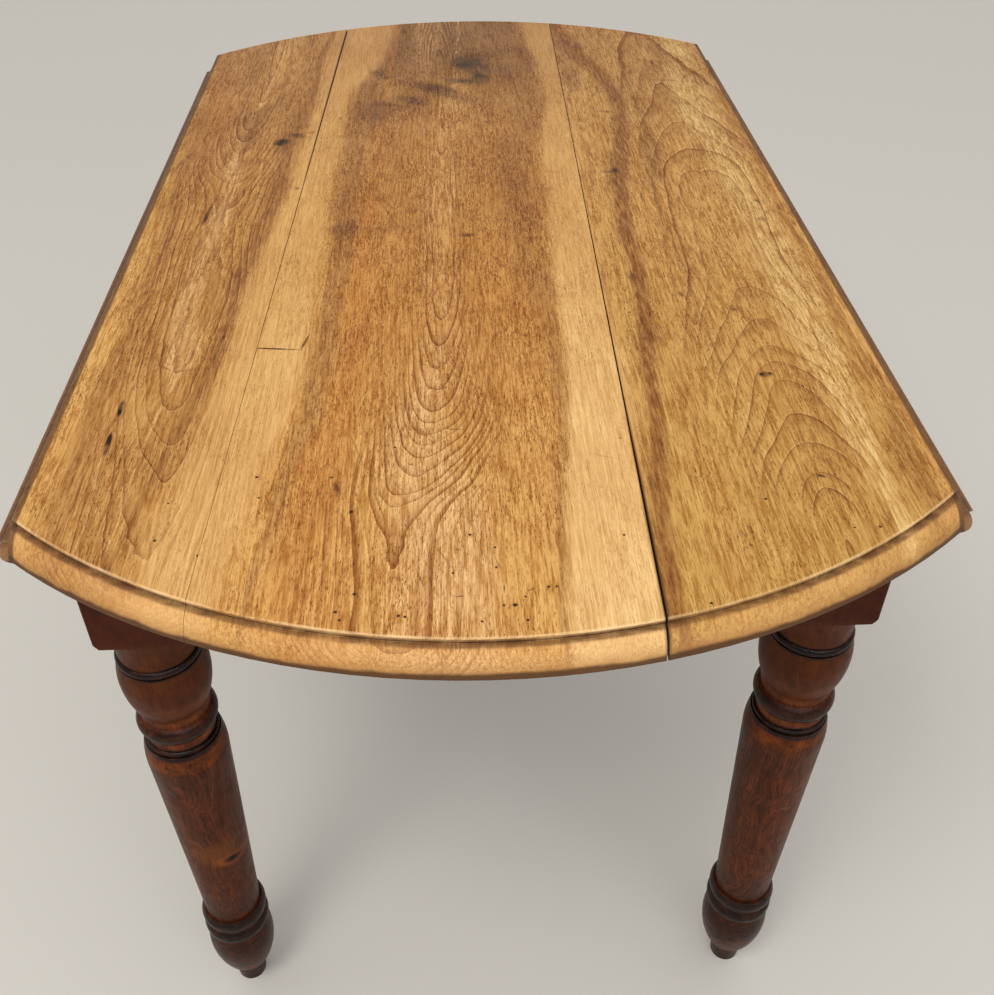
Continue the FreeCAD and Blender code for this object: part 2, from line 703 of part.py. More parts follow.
# ----------------------------------------------------------------------------- rails
def rail(name, turn, face, span, button_place, pegs, notches, screws_out):
    """A rail drawn on the right-hand side and turned to its own side."""
    stem = name.title().replace("_", "")
    body = new_body(stem + "Body")
    inner = f"{face} - Sizes.rail_thickness"
    section = new_sketch(body, "XZ_Plane", stem + "Section")
    draw(section, rectangle(inner, "Layout.rail_foot", "Sizes.rail_thickness",
                            "Sizes.rail_height"))
    pad(body, stem + "Board", section, span, midplane=True)
    tenon = new_sketch(body, "XZ_Plane", stem + "TenonSection")
    draw(tenon, rectangle(f"{face} - (Sizes.rail_thickness + Sizes.tenon_thickness) / 2",
                          "Layout.tenon_foot", "Sizes.tenon_thickness",
                          "Layout.tenon_height"))
    pad(body, stem + "Tenons", tenon, f"{span} + 2 * Sizes.tenon_length", midplane=True)
    groove = new_sketch(body, "XZ_Plane", stem + "GrooveSection")
    draw(groove, rectangle(f"{inner} - {CLEAR}", "Layout.groove_foot",
                           f"Sizes.groove_depth + {CLEAR}", "Sizes.groove_height"))
    pocket(body, stem + "Groove", groove, span, midplane=True)
    for index, along in enumerate(notches):
        slot = new_sketch(body, "YZ_Plane", f"{stem}Slot{index}")
        draw(slot, rectangle(f"{along} - Layout.keeper_half",
                             "Layout.loper_foot - Sizes.slide_clearance",
                             "2 * Layout.keeper_half",
                             f"Sizes.loper_height + 2 * Sizes.slide_clearance + {CLEAR}"))
        pocket(body, f"{stem}Notch{index}", slot).Reversed = True
    put(body, turn=turn)
    # buttons hook into the groove and are screwed up into the top
    buttons = []
    button_screws = []
    for index, sign in enumerate(("-", "")):
        along = f"{sign}{button_place}"
        low = f"{along} - Sizes.button_width / 2"
        foot = "Layout.groove_foot + Sizes.button_spare"
        block = box(f"{stem}Block{index}", (f"{inner} - Sizes.button_length", low, foot),
                    ("Sizes.button_length", "Sizes.button_width",
                     f"Layout.underside - ({foot})"))
        hook = box(f"{stem}Hook{index}", (inner, low, foot),
                   ("Sizes.groove_depth - Sizes.button_spare", "Sizes.button_width",
                    "Sizes.groove_height - 2 * Sizes.button_spare"))
        button_screws.append(screw(
            f"{stem}Screw{index}", (f"{inner} - Sizes.button_length / 2", along, foot),
            "large", f"Layout.underside - ({foot}) + Sizes.screw_bite"))
        buttons.append(cut(f"{stem}Button{index}",
                           joined(f"{stem}Hooked{index}", [block, hook]),
                           button_screws[-1]))
    screws_out.append(put(group(stem + "Screws", button_screws), turn=turn))
    finished = node(cut(stem, body, pegs), name)
    return finished, put(group(stem + "Buttons", buttons), turn=turn)


# -------------------------------------------------------------------------- battens
def batten(name, place):
    """A batten across all three boards, bevelled below, with two screws to a board."""
    stem = name.title().replace("_", "")
    body = new_body(stem + "Body")
    half = "Sizes.batten_width / 2"
    foot = "Layout.underside - Sizes.batten_thickness"
    bevel_line = f"{foot} + Sizes.batten_bevel"
    section = new_sketch(body, "YZ_Plane", stem + "Section")
    draw(section, [(f"{place} - {half} + Sizes.batten_bevel", foot),
                   (f"{place} + {half} - Sizes.batten_bevel", foot),
                   (f"{place} + {half}", bevel_line),
                   (f"{place} + {half}", "Layout.underside"),
                   (f"{place} - {half}", "Layout.underside"),
                   (f"{place} - {half}", bevel_line)])
    pad(body, stem + "Board", section,
        "2 * (Layout.inner_face - Sizes.batten_spare)", midplane=True)
    end = "(Layout.inner_face - Sizes.screw_edge)"
    places = [f"-{end}", "Layout.seam_left - Sizes.screw_edge",
              "Layout.seam_left + Sizes.screw_edge",
              "Layout.seam_right - Sizes.screw_edge",
              "Layout.seam_right + Sizes.screw_edge", end]
    screws = [screw(f"{stem}Screw{index}", (across, place, foot), "large",
                    "Sizes.batten_thickness + Sizes.screw_bite")
              for index, across in enumerate(places)]
    screw_group = group(stem + "Screws", screws)
    return node(cut(stem, body, screw_group), name), screw_group


# --------------------------------------------------------------------------- lopers
def loper(name, turn, along):
    """A pull-out bearer with a bevelled tip, a finger grip below and a stop dowel."""
    stem = name.title().replace("_", "")
    body = new_body(stem + "Body")
    grip = "Layout.loper_tip - Sizes.loper_grip_place"
    grip_half = ("sqrt(Sizes.loper_grip_radius^2 - "
                 "(Sizes.loper_grip_radius - Sizes.loper_grip_depth)^2)")
    section = new_sketch(body, "XZ_Plane", stem + "Section")
    draw(section, [("Sizes.loper_tail", "Layout.loper_foot"),
                   (f"{grip} - {grip_half}", "Layout.loper_foot"),
                   (f"{grip} + {grip_half}", "Layout.loper_foot",
                    "Sizes.loper_grip_radius", "right"),
                   ("Layout.loper_tip - Sizes.loper_bevel", "Layout.loper_foot"),
                   ("Layout.loper_tip", "Layout.loper_foot + Sizes.loper_bevel"),
                   ("Layout.loper_tip", "Layout.loper_top"),
                   ("Sizes.loper_tail", "Layout.loper_top")])
    pad(body, stem + "Bar", section, "Sizes.loper_width", midplane=True)
    stop = rod(stem + "Stop", ("Layout.stop_across", "0",
                               "Layout.loper_foot - Sizes.stop_drop"),
               "Sizes.stop_radius", "Sizes.loper_height + Sizes.stop_drop")
    finished = node(put(cut(stem, body, stop), along=along, turn=turn), name)
    dowel = put(group(stem + "Dowel", [stop]), along=along, turn=turn)
    node(dowel, name.replace("loper", "loper_stop"))
    return finished


def keeper(name, turn, along):
    """A flanged wooden channel under the top in which a loper slides."""
    stem = name.title().replace("_", "")
    body = new_body(stem + "Body")
    wall = "Layout.keeper_half + Sizes.keeper_wall"
    wing = f"{wall} + Sizes.keeper_flange"
    flange_foot = "Layout.underside - Sizes.keeper_flange_height"
    channel = "Layout.loper_foot - Sizes.slide_clearance"
    half = [("Layout.keeper_half", "Layout.underside"), ("Layout.keeper_half", channel)]
    outer = [(wall, "Layout.keeper_foot"), (wall, flange_foot), (wing, flange_foot),
             (wing, "Layout.underside")]

    def other(corners):
        return [(f"-({across})", height) for across, height in corners]

    section = new_sketch(body, "YZ_Plane", stem + "Section", lift="Layout.keeper_across")
    draw(section, other(outer) + other(half) + half[::-1] + outer[::-1])
    pad(body, stem + "Channel", section, "Sizes.keeper_length")
    middle = "Layout.keeper_across + Sizes.keeper_length / 2"
    screws = [screw(f"{stem}Screw{index}",
                    (middle, f"{sign}Layout.keeper_screw_line", flange_foot), "large",
                    "Sizes.keeper_flange_height + Sizes.screw_bite")
              for index, sign in enumerate(("-", ""))]
    screw_group = put(group(stem + "Screws", screws), along=along, turn=turn)
    solid = cut(stem, body, group(stem + "Holes", screws))
    return node(put(solid, along=along, turn=turn), name), screw_group


# ------------------------------------------------------------------------- assembly
LEGS = (("leg_back_right", 0, "Layout.leg_across", "Layout.leg_along"),
        ("leg_back_left", 90, "-Layout.leg_across", "Layout.leg_along"),
        ("leg_front_left", 180, "-Layout.leg_across", "-Layout.leg_along"),
        ("leg_front_right", 270, "Layout.leg_across", "-Layout.leg_along"))
pegs = group("AllPegs", [leg(*row)[1] for row in LEGS])
node(pegs, "joint_pegs")

LOPER_PLACES = ("-Sizes.loper_place", "Sizes.loper_place")
top_screws = []
side_face = "Layout.side_rail_face"
end_face = "Layout.end_rail_face"
buttons = []
for rail_name, turn, face, span, button_place, notches in (
        ("side_rail_right", 0, side_face, "Layout.side_rail_span",
         "Sizes.side_button_place", LOPER_PLACES),
        ("side_rail_left", 180, side_face, "Layout.side_rail_span",
         "Sizes.side_button_place", LOPER_PLACES),
        ("end_rail_back", 90, end_face, "Layout.end_rail_span",
         "Sizes.end_button_place", ()),
        ("end_rail_front", 270, end_face, "Layout.end_rail_span",
         "Sizes.end_button_place", ())):
    buttons.append(rail(rail_name, turn, face, span, button_place, pegs, notches,
                        top_screws)[1])
node(group("TopButtons", buttons), "top_buttons")
node(group("ButtonScrews", list(top_screws)), "button_screws")

batten_screws = [batten("batten_front", "-Layout.batten_along")[1],
                 batten("batten_back", "Layout.batten_along")[1]]
top_screws += batten_screws
node(group("BattenScrews", batten_screws), "batten_screws")

keeper_screws = []
for side, sign, turn in SIDES:
    for end, along in zip(("front", "back"), LOPER_PLACES):
        loper(f"loper_{end}_{side}", turn, along)
        keeper_screws.append(keeper(f"loper_keeper_{end}_{side}", turn, along)[1])
top_screws += keeper_screws
node(group("KeeperScrews", keeper_screws), "keeper_screws")

wood_cuts = list(top_screws)
for side, sign, turn in SIDES:
    plates, screws, tools = hinge_parts(side, leaf=False)
    node(at_hinge(plates, sign, turn), f"hinge_plates_{side}")
    node(at_hinge(screws, sign, turn), f"hinge_screws_{side}")
    wood_cuts.append(at_hinge(tools, sign, turn))
    pins = group("Pins" + side.capitalize(), [
        rod(f"Pin{side}{index}", ("0", f"{along} - Sizes.hinge_length / 2", "0"),
            "Sizes.pin_radius", "Sizes.hinge_length", "y")
        for index, along in enumerate(HINGE_PLACES)])
    node(at_hinge(pins, sign, turn), f"hinge_pins_{side}")
    plates, screws, tools = hinge_parts(side, leaf=True)
    node(at_hinge(plates, sign, turn, hanging=True), f"leaf_plates_{side}")
    node(at_hinge(screws, sign, turn, hanging=True), f"leaf_screws_{side}")
    leaf(side, sign, turn, tools)

top_cuts = group("TopCuts", wood_cuts)
for label, left_seam, right_seam in (("top_board_left", None, "seam_left"),
                                     ("top_board_centre", "seam_left", "seam_right"),
                                     ("top_board_right", "seam_right", None)):
    stem = label.title().replace("_", "")
    node(cut(stem, board(stem + "Board", left_seam, right_seam), top_cuts), label)

doc.recompute()

# ----------------------------------------------------------------- check and write out
failed = [item.Name for item in doc.Objects if {"Invalid", "Error"} & set(item.State)]
if failed:
    raise RuntimeError("failed: " + ", ".join(failed))
for item in nodes:
    if item.Shape.isNull() or not item.Shape.isValid() or not item.Shape.Solids:
        raise RuntimeError(item.Label + " is not a valid solid")
os.makedirs("parts", exist_ok=True)
for item in nodes:
    item.Shape.exportStep(f"parts/{item.Label}.step")
    print(f"{item.Label}: {len(item.Shape.Solids)} solid(s), "
          f"{item.Shape.Volume / 1000:.1f} cm3")
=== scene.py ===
# %% [markdown]
# # An old walnut drop-leaf table
#
# The table is already built: its boards, leaves, hinges and turned legs arrive as a fixed
# model in metres, with the floor at zero and the length along Y.  What is left is what a
# finisher would do: colour the wood, wear it, polish it, and light it.
#
# Every pattern below is worked out from the wood itself.  Walnut is one solid material
# that runs through a board, so its rings, pores and stains are functions of place, and
# the same function colours the flat face, the moulding and the end grain.

# %% Load the table
import math

import bpy
from mathutils import Matrix, Vector


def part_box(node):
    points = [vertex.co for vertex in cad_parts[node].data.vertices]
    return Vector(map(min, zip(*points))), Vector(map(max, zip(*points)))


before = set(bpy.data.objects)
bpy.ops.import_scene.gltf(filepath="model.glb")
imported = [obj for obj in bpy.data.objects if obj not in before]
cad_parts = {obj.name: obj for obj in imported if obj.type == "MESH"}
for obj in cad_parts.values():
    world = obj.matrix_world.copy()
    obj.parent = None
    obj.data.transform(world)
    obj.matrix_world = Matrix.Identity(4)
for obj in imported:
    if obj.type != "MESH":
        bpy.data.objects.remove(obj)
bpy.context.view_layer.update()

# %% [markdown]
# ## Where the camera stands
#
# The view is that of someone standing at one curved end, a little left of the middle, and
# looking down along the table.  A camera's matrix can be built from three directions: where
# it looks, what is to its right, and what is up.  That keeps the slight tilt exact, where
# three Euler angles would be hard to read.

# %% Camera
CAMERA_PLACE = Vector((-0.0229, -1.0406, 1.2335))
LOOK_DOWN = math.radians(40.13)
LOOK_RIGHT = math.radians(1.49)
LEAN = math.radians(-0.83)
SENSOR = 36
LENS = 39.31
SHIFT = (0.0201, 0.0003)

ahead = Vector((math.sin(LOOK_RIGHT) * math.cos(LOOK_DOWN),
                math.cos(LOOK_RIGHT) * math.cos(LOOK_DOWN), -math.sin(LOOK_DOWN)))
level = Vector((math.cos(LOOK_RIGHT), -math.sin(LOOK_RIGHT), 0))
upward = level.cross(ahead)
right = level * math.cos(LEAN) + upward * math.sin(LEAN)
upright = upward * math.cos(LEAN) - level * math.sin(LEAN)

camera_data = bpy.data.cameras.new("standing_view")
camera_data.sensor_width = SENSOR
camera_data.lens = LENS
camera_data.shift_x, camera_data.shift_y = SHIFT
camera = bpy.data.objects.new("standing_view", camera_data)
bpy.context.scene.collection.objects.link(camera)
turn = Matrix((right, upright, -ahead)).transposed().to_4x4()
camera.matrix_world = Matrix.Translation(CAMERA_PLACE) @ turn
bpy.context.scene.camera = camera
print("camera", round(CAMERA_PLACE.z, 3), "m up, lens", LENS, "mm")

# %% [markdown]
# ## Nodes, colours and millimetres
#
# A material is a small machine of nodes.  One helper adds a node, sets its options, and
# either links or fills its inputs.  Colours are chosen on a screen, so they are
# written as screen values and turned to linear light here, once.

# %% Helpers for materials
MM = 1000   # millimetres in a metre


def add(tree, kind, inputs=(), output=0, **settings):
    """Add a node to a tree, set it up, and give back one of its outputs."""
    made = tree.nodes.new(kind)
    for name, value in settings.items():
        setattr(made, name, value)
    pairs = inputs.items() if isinstance(inputs, dict) else enumerate(inputs)
    for key, value in pairs:
        if isinstance(value, bpy.types.NodeSocket):
            tree.links.new(value, made.inputs[key])
        elif value is not None:
            made.inputs[key].default_value = value
    return made.outputs[output]


def colour(hex_text):
    """A screen colour such as #c08a53 as linear red, green, blue and 1."""
    channels = [int(hex_text[i:i + 2], 16) / 255 for i in (1, 3, 5)]
    linear = [c / 12.92 if c <= 0.04045 else ((c + 0.055) / 1.055) ** 2.4 for c in channels]
    return (*linear, 1)


def new_material(name, **sockets):
    """A material with its shader wired to its output and plain sockets set by name."""
    material = bpy.data.materials.new(name)
    material.use_nodes = True
    tree = material.node_tree
    tree.nodes.clear()
    shader = tree.nodes.new("ShaderNodeBsdfPrincipled")
    output = tree.nodes.new("ShaderNodeOutputMaterial")
    tree.links.new(shader.outputs[0], output.inputs[0])
    for socket, value in sockets.items():
        shader.inputs[socket.replace("_", " ")].default_value = value
    return material, tree, shader


def wire(tree, shader, painted, relief, depth, strength=0.5, invert=False, dull=None):
    """Wire a colour, a relief of that depth in metres and an uneven gloss to a shader."""
    tree.links.new(painted, shader.inputs["Base Color"])
    bump = add(tree, "ShaderNodeBump", {"Strength": strength, "Distance": depth,
                                        "Height": relief}, invert=invert)
    tree.links.new(bump, shader.inputs["Normal"])
    if dull is not None:
        tree.links.new(dull, shader.inputs["Roughness"])
    return bump


def dress(material, *names):
    """Give a material to table pieces, in the slots that they came with."""
    for name in names:
        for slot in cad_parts[name].material_slots:
            slot.material = material


print("mid grey is", [round(c, 3) for c in colour("#808080")])

# %% [markdown]
# ## The studio
#
# A plain pale floor, a pale sky that is brighter overhead than at the horizon, and one big
# soft lamp high over the near end.  Light from all over shows a colour about as it is
# written.  The dim horizon keeps a haze of reflection off the far end of the top, where it
# is seen at a low angle.  A second lamp, a long low strip behind the viewer, is there for
# the legs: it lies in the rings as a thin line of light, as a window does.

# %% Floor and light
FLOOR_SIZE = 24
FLOOR_COLOUR = colour("#c2bdb2")
SKY_COLOUR = colour("#f8f8fa")
SKY_LOW = 0.38          # strength of the sky at the horizon
SKY_HIGH = 1.18         # and overhead
SKY_RISE = (0.15, 0.75)         # between these heights of the gaze it brightens
KEY_POWER = 34          # watts
KEY_SIZE = 1.0          # metres across
KEY_PLACE = Vector((-0.9, -1.6, 2.9))
KEY_TARGET = Vector((0, -0.2, 0.6))
STRIP_POWER = 30
STRIP_SIZE = (3.0, 0.35)
STRIP_PLACE = Vector((0.8, -3.0, 2.0))
STRIP_TARGET = Vector((0, -0.4, 0.3))
STRIP_COLOUR = colour("#e9edff")        # a little blue, as window light is

bpy.ops.object.select_all(action="DESELECT")
bpy.ops.mesh.primitive_plane_add(size=FLOOR_SIZE, location=(0, 0, 0))
floor = bpy.context.object
floor.name = "studio_floor"
floor_paint, _, floor_shader = new_material("pale_floor_paint", Roughness=0.85)
floor_shader.inputs["Base Color"].default_value = FLOOR_COLOUR
floor.data.materials.append(floor_paint)

world = bpy.data.worlds.new("pale_sky")
bpy.context.scene.world = world
world.use_nodes = True
sky = world.node_tree.nodes["Background"]
sky.inputs["Color"].default_value = SKY_COLOUR
gaze = add(world.node_tree, "ShaderNodeTexCoord")
gaze = add(world.node_tree, "ShaderNodeSeparateXYZ", [gaze], output=2)
gaze = add(world.node_tree, "ShaderNodeMapRange", [gaze, *SKY_RISE, SKY_LOW, SKY_HIGH],
           interpolation_type="SMOOTHSTEP")
world.node_tree.links.new(gaze, sky.inputs["Strength"])


def lamp(name, shape, size, power, place, target):
    """A flat lamp that faces its target."""
    data = bpy.data.lights.new(name, "AREA")
    data.shape = shape
    data.size, data.size_y = size
    data.energy = power
    made = bpy.data.objects.new(name, data)
    bpy.context.scene.collection.objects.link(made)
    made.matrix_world = Matrix.Translation(place) @ (
        (target - place).to_track_quat("-Z", "Y").to_matrix().to_4x4())
    return made


lamp("soft_key", "DISK", (KEY_SIZE, KEY_SIZE), KEY_POWER, KEY_PLACE, KEY_TARGET)
strip = lamp("low_strip", "RECTANGLE", STRIP_SIZE, STRIP_POWER, STRIP_PLACE, STRIP_TARGET)
strip.data.color = STRIP_COLOUR[:3]

bpy.context.scene.view_settings.view_transform = "Standard"
print("sky", SKY_LOW, "to", SKY_HIGH, "key", KEY_POWER, "W over", KEY_SIZE, "m")

# %% [markdown]
# ## How walnut is drawn
#
# Three things make a sawn walnut board what it is.
#
# * Sapwood is the pale outer wood, heartwood the brown inner wood.  A wide board holds
#   both, and the border between them wanders lengthwise.
# * Growth rings are cones round the heart of the log.  Where the saw runs just off that
#   heart, they show as nested tongues, called cathedral figure.  If `depth` is how far
#   below the face the heart lies, the ring at a point is the square root of across
#   squared plus depth squared, and the tongues draw themselves.
# * Pores are cut lengthwise into short dark dashes.
#
# A board's pattern is laid in its own directions: across the board, along it, and through
# it.  `wood_place` picks those three from the table's X, Y and Z.

# %% Wood helpers
REACH = 650     # lengthwise courses run from -650 to 650 mm


def wood_place(tree, order="xyz"):
    """Millimetres across, along and through a board, as a vector and as three numbers."""
    place = add(tree, "ShaderNodeTexCoord", output=3)
    place = add(tree, "ShaderNodeVectorMath", [place, (MM, MM, MM)], operation="MULTIPLY")
    split = add(tree, "ShaderNodeSeparateXYZ", [place]).node
    parts = [split.outputs["xyz".index(letter)] for letter in order]
    return add(tree, "ShaderNodeCombineXYZ", parts), *parts


def share_along(tree, along):
    """0 at one end of the lengthwise courses, 1 at the other."""
    return add(tree, "ShaderNodeMapRange", [along, -REACH, REACH, 0, 1])


def course(tree, share, points):
    """A value that wanders down a board: (millimetres along, value) pairs."""
    low = min(value for _, value in points) - 1
    high = max(value for _, value in points) + 1
    curve = add(tree, "ShaderNodeFloatCurve", {1: share}).node
    line = curve.mapping.curves[0]
    while len(line.points) < len(points):
        line.points.new(0.5, 0.5)
    for point, (at, value) in zip(line.points, sorted(points)):
        point.location = ((at + REACH) / (2 * REACH), (value - low) / (high - low))
    curve.mapping.update()
    return add(tree, "ShaderNodeMapRange", [curve.outputs[0], 0, 1, low, high])


def tones(tree, share, stops):
    """A colour that changes down a board: (millimetres along, colour) pairs."""
    blend = add(tree, "ShaderNodeValToRGB", [share])
    elements = blend.node.color_ramp.elements
    while len(elements) < len(stops):
        elements.new(0.5)
    for element, (at, hex_text) in zip(elements, stops):
        element.position = (at + REACH) / (2 * REACH)
        element.color = colour(hex_text)
    return blend


def past(tree, across, border, softness):
    """0 on one side of a border and 1 on the other, with a soft step of that width."""
    over = add(tree, "ShaderNodeMath", [across, border], operation="SUBTRACT")
    return add(tree, "ShaderNodeMapRange", [over, -softness / 2, softness / 2, 0, 1],
               interpolation_type="SMOOTHSTEP")


def streak(tree, across, share, points):
    """1 along a lengthwise streak: (millimetres along, middle, half width) triples."""
    middle = course(tree, share, [(at, here) for at, here, _ in points])
    half = course(tree, share, [(at, width) for at, _, width in points])
    half = add(tree, "ShaderNodeMath", [half, 0.5], operation="MAXIMUM")
    off = add(tree, "ShaderNodeMath", [across, middle], operation="SUBTRACT")
    off = add(tree, "ShaderNodeMath", [off], operation="ABSOLUTE")
    off = add(tree, "ShaderNodeMath", [off, half], operation="DIVIDE")
    return add(tree, "ShaderNodeMapRange", [off, 0.25, 1.25, 1, 0],
               interpolation_type="SMOOTHSTEP")


def oval(tree, place, centre, radii, turned=0.0, core=0.3):
    """1 in the core of an oval mark and 0 outside it, turned by some degrees."""
    away = add(tree, "ShaderNodeVectorMath", [place, (*centre, 0)], operation="SUBTRACT")
    if turned:
        away = add(tree, "ShaderNodeVectorRotate", {0: away, 3: math.radians(turned)},
                   rotation_type="Z_AXIS")
    away = add(tree, "ShaderNodeVectorMath", [away, (1 / radii[0], 1 / radii[1], 0)],
               operation="MULTIPLY")
    far = add(tree, "ShaderNodeVectorMath", [away], output=1, operation="LENGTH")
    return add(tree, "ShaderNodeMapRange", [far, core, 1, 1, 0],
               interpolation_type="SMOOTHSTEP")


def grain(tree, place, across_mm, along_mm, seed, low=0.0, high=1.0, detail=2.0):
    """Noise drawn out along the board, between two values, with grains of that size."""
    drawn = add(tree, "ShaderNodeVectorMath",
                [place, (1 / across_mm, 1 / along_mm, 1 / across_mm)], operation="MULTIPLY")
    drawn = add(tree, "ShaderNodeVectorMath", [drawn, (seed, 3 * seed, 7 * seed)])
    drawn = add(tree, "ShaderNodeTexNoise", {0: drawn, 2: 1.0, 3: detail, 4: 0.55})
    return add(tree, "ShaderNodeMapRange", [drawn, 0.25, 0.75, low, high])


def stain(tree, painted, tone, mask, strength=1.0, how="MIX"):
    """Lay a tone over the painted colour where a mask is: mixed, or multiplied as a dye."""
    amount = add(tree, "ShaderNodeMath", [mask, strength], operation="MULTIPLY",
                 use_clamp=True)
    return add(tree, "ShaderNodeMix", {0: amount, 6: painted, 7: tone}, output=2,
               data_type="RGBA", blend_type=how)


print("courses run over", 2 * REACH, "mm")

# %% [markdown]
# ## Growth rings
#
# The line of the heart and its depth give the rings.  Each ring ends in a dark, hard edge
# of late wood, and the next one starts with a pale edge of early wood, so a ring is drawn
# as a shade that deepens to a thin dark line, with a thin pale one behind it.  Each gets its
# own strength, as some years leave a darker line than others, and its own width, because
# rings are uneven.
# Where the rings stand steep to the face, they crowd together and are lost among the fibres.
# Going down from the face, the heart goes further away, so a moulded edge cuts across the
# rings and shows them as lines along itself.

# %% Growth rings
LINE_WIDTH = 2.4        # millimetres on the face
LONG_WAVE = (80, 300, 4.1, -5, 5)           # grains across and along, seed, low and high
SHORT_WAVE = (14, 34, 1.6, -0.45, 0.45)
UNEVEN = (9, 6)         # ring widths change over the first, by up to half the second
LYING = 0.16            # the least slope, so that a line never gets thinner than this share
LOST_SLOPE = (0.65, 0.96)       # steeper than this, rings fade to LOST
LOST_ASIDE = (42, 72)           # and further than this from the line of the heart
LOST = 0.15
YEARS = (0.45, 1.15)            # weakest and strongest year


def ring_lines(tree, place, across, down, share, figure):
    """The dark and the pale lines of the rings, each from 0 to 1."""
    heart_line, heart_depth, spacing = figure
    aside = add(tree, "ShaderNodeMath", [across, course(tree, share, heart_line)],
                operation="SUBTRACT")
    deep = add(tree, "ShaderNodeMath", [course(tree, share, heart_depth), down])
    ring = add(tree, "ShaderNodeCombineXYZ", [aside, deep])
    ring = add(tree, "ShaderNodeVectorMath", [ring], output=1, operation="LENGTH")
    slope = add(tree, "ShaderNodeMath", [aside, ring], operation="DIVIDE")   # 0 lying, 1 steep
    slope = add(tree, "ShaderNodeCombineXYZ", [slope, LYING])
    slope = add(tree, "ShaderNodeVectorMath", [slope], output=1, operation="LENGTH")
    for wave in (grain(tree, place, *LONG_WAVE, detail=1), grain(tree, place, *SHORT_WAVE)):
        ring = add(tree, "ShaderNodeMath", [ring, wave])
    width = add(tree, "ShaderNodeMath", [ring, UNEVEN[0]], operation="DIVIDE")
    width = add(tree, "ShaderNodeTexNoise", {1: width, 2: 1.0}, noise_dimensions="1D")
    ring = add(tree, "ShaderNodeMath", [width, UNEVEN[1], ring], operation="MULTIPLY_ADD")
    ring = add(tree, "ShaderNodeMath", [ring, spacing], operation="DIVIDE")

    year = add(tree, "ShaderNodeMath", [ring], operation="FLOOR")
    year = add(tree, "ShaderNodeTexWhiteNoise", {1: year}, noise_dimensions="1D")
    year = add(tree, "ShaderNodeMapRange", [year, 0, 1, *YEARS])
    near = add(tree, "ShaderNodeMapRange", [slope, *LOST_SLOPE, 1, LOST])
    aside = add(tree, "ShaderNodeMath", [aside], operation="ABSOLUTE")
    aside = add(tree, "ShaderNodeMapRange", [aside, *LOST_ASIDE, 1, LOST])
    near = add(tree, "ShaderNodeMath", [near, aside], operation="MULTIPLY")
    clear = grain(tree, place, 50, 140, 3.7, 0.6, 1.2)
    strength = add(tree, "ShaderNodeMath", [year, near], operation="MULTIPLY")
    strength = add(tree, "ShaderNodeMath", [strength, clear], operation="MULTIPLY")

    late = add(tree, "ShaderNodeMath", [ring], operation="FRACT")
    thin = add(tree, "ShaderNodeMath", [slope, LINE_WIDTH / spacing], operation="MULTIPLY")
    early = add(tree, "ShaderNodeMapRange", [late, 0, thin, 1, 0])
    start = add(tree, "ShaderNodeMath", [1, thin], operation="SUBTRACT")
    broad = add(tree, "ShaderNodeMapRange", [late, 0.35, 1, 0, 0.4],
                interpolation_type="SMOOTHSTEP")
    late = add(tree, "ShaderNodeMapRange", [late, start, 1, 0, 0.75])
    late = add(tree, "ShaderNodeMath", [late, broad])
    return [add(tree, "ShaderNodeMath", [line, strength], operation="MULTIPLY")
            for line in (late, early)]


print("ring lines", LINE_WIDTH, "mm wide")

# %% [markdown]
# ## Fibres, flecks and pores
#
# `walnut_grain` takes the broad colour of a board and draws the fine structure over it.
# Fibres are faint lines along the board.  Flecks are short darker patches, where the fibres
# dip into the face and drink more oil.  The pores are about 0.2 mm wide and up to 10 mm
# long in real walnut, too fine to show from standing height, so they are drawn 0.6 mm wide.
# Where many lie close together they read as longer, paler dashes.  All of them are fainter
# in the sapwood, which looks smooth beside the heartwood.

# %% Fine structure of walnut
LATE_WOOD = colour("#b99a73")
EARLY_WOOD = colour("#f0d09a")
FIBRE = colour("#d9c4a2")
FLECK = colour("#cdb48c")
PORE = colour("#96724a")
# grains across and along in millimetres, and their seed
FIBRES = (1.0, 70, 2.3)
CROWDS = (30, 70, 8.4)
DASHES = (2.2, 24, 3.8)
PORES = (0.6, 4, 6.2)
IN_SAPWOOD = 0.4        # share of the fine structure that shows in the sapwood


def walnut_grain(tree, place, across, down, share, painted, figure, heart, flecked):
    """Draw rings, fibres, flecks and pores over a colour; also give back a height."""
    fibre = grain(tree, place, *FIBRES, -0.5, 1.1, detail=3)
    painted = stain(tree, painted, FIBRE, fibre, 0.8, "MULTIPLY")

    late, early = ring_lines(tree, place, across, down, share, figure)
    shown = add(tree, "ShaderNodeMapRange", [heart, 0, 1, IN_SAPWOOD, 1])
    early = add(tree, "ShaderNodeMath", [early, shown], operation="MULTIPLY")
    painted = stain(tree, painted, EARLY_WOOD, early, 0.17)
    painted = stain(tree, painted, LATE_WOOD, late, shown, "MULTIPLY")

    crowd = grain(tree, place, *CROWDS, 0.2, 1.3)
    crowd = add(tree, "ShaderNodeMath", [crowd, shown], operation="MULTIPLY")
    wide, long, strength = flecked
    crowd = add(tree, "ShaderNodeMath", [crowd, course(tree, share, strength)],
                operation="MULTIPLY")
    fleck = grain(tree, place, wide, long, 5.7, -1.0, 1.7, detail=3)
    painted = stain(tree, painted, FLECK, fleck, crowd, "MULTIPLY")
    dash = grain(tree, place, *DASHES, -1.0, 1.5, detail=2)
    painted = stain(tree, painted, FIBRE, dash, shown, "MULTIPLY")
    pore = grain(tree, place, *PORES, -3.6, 2.4, detail=1)
    pore = add(tree, "ShaderNodeMath", [pore, crowd], operation="MULTIPLY", use_clamp=True)
    painted = stain(tree, painted, PORE, pore, 0.8, "MULTIPLY")
    height = add(tree, "ShaderNodeMath", [fibre, pore])
    return painted, height


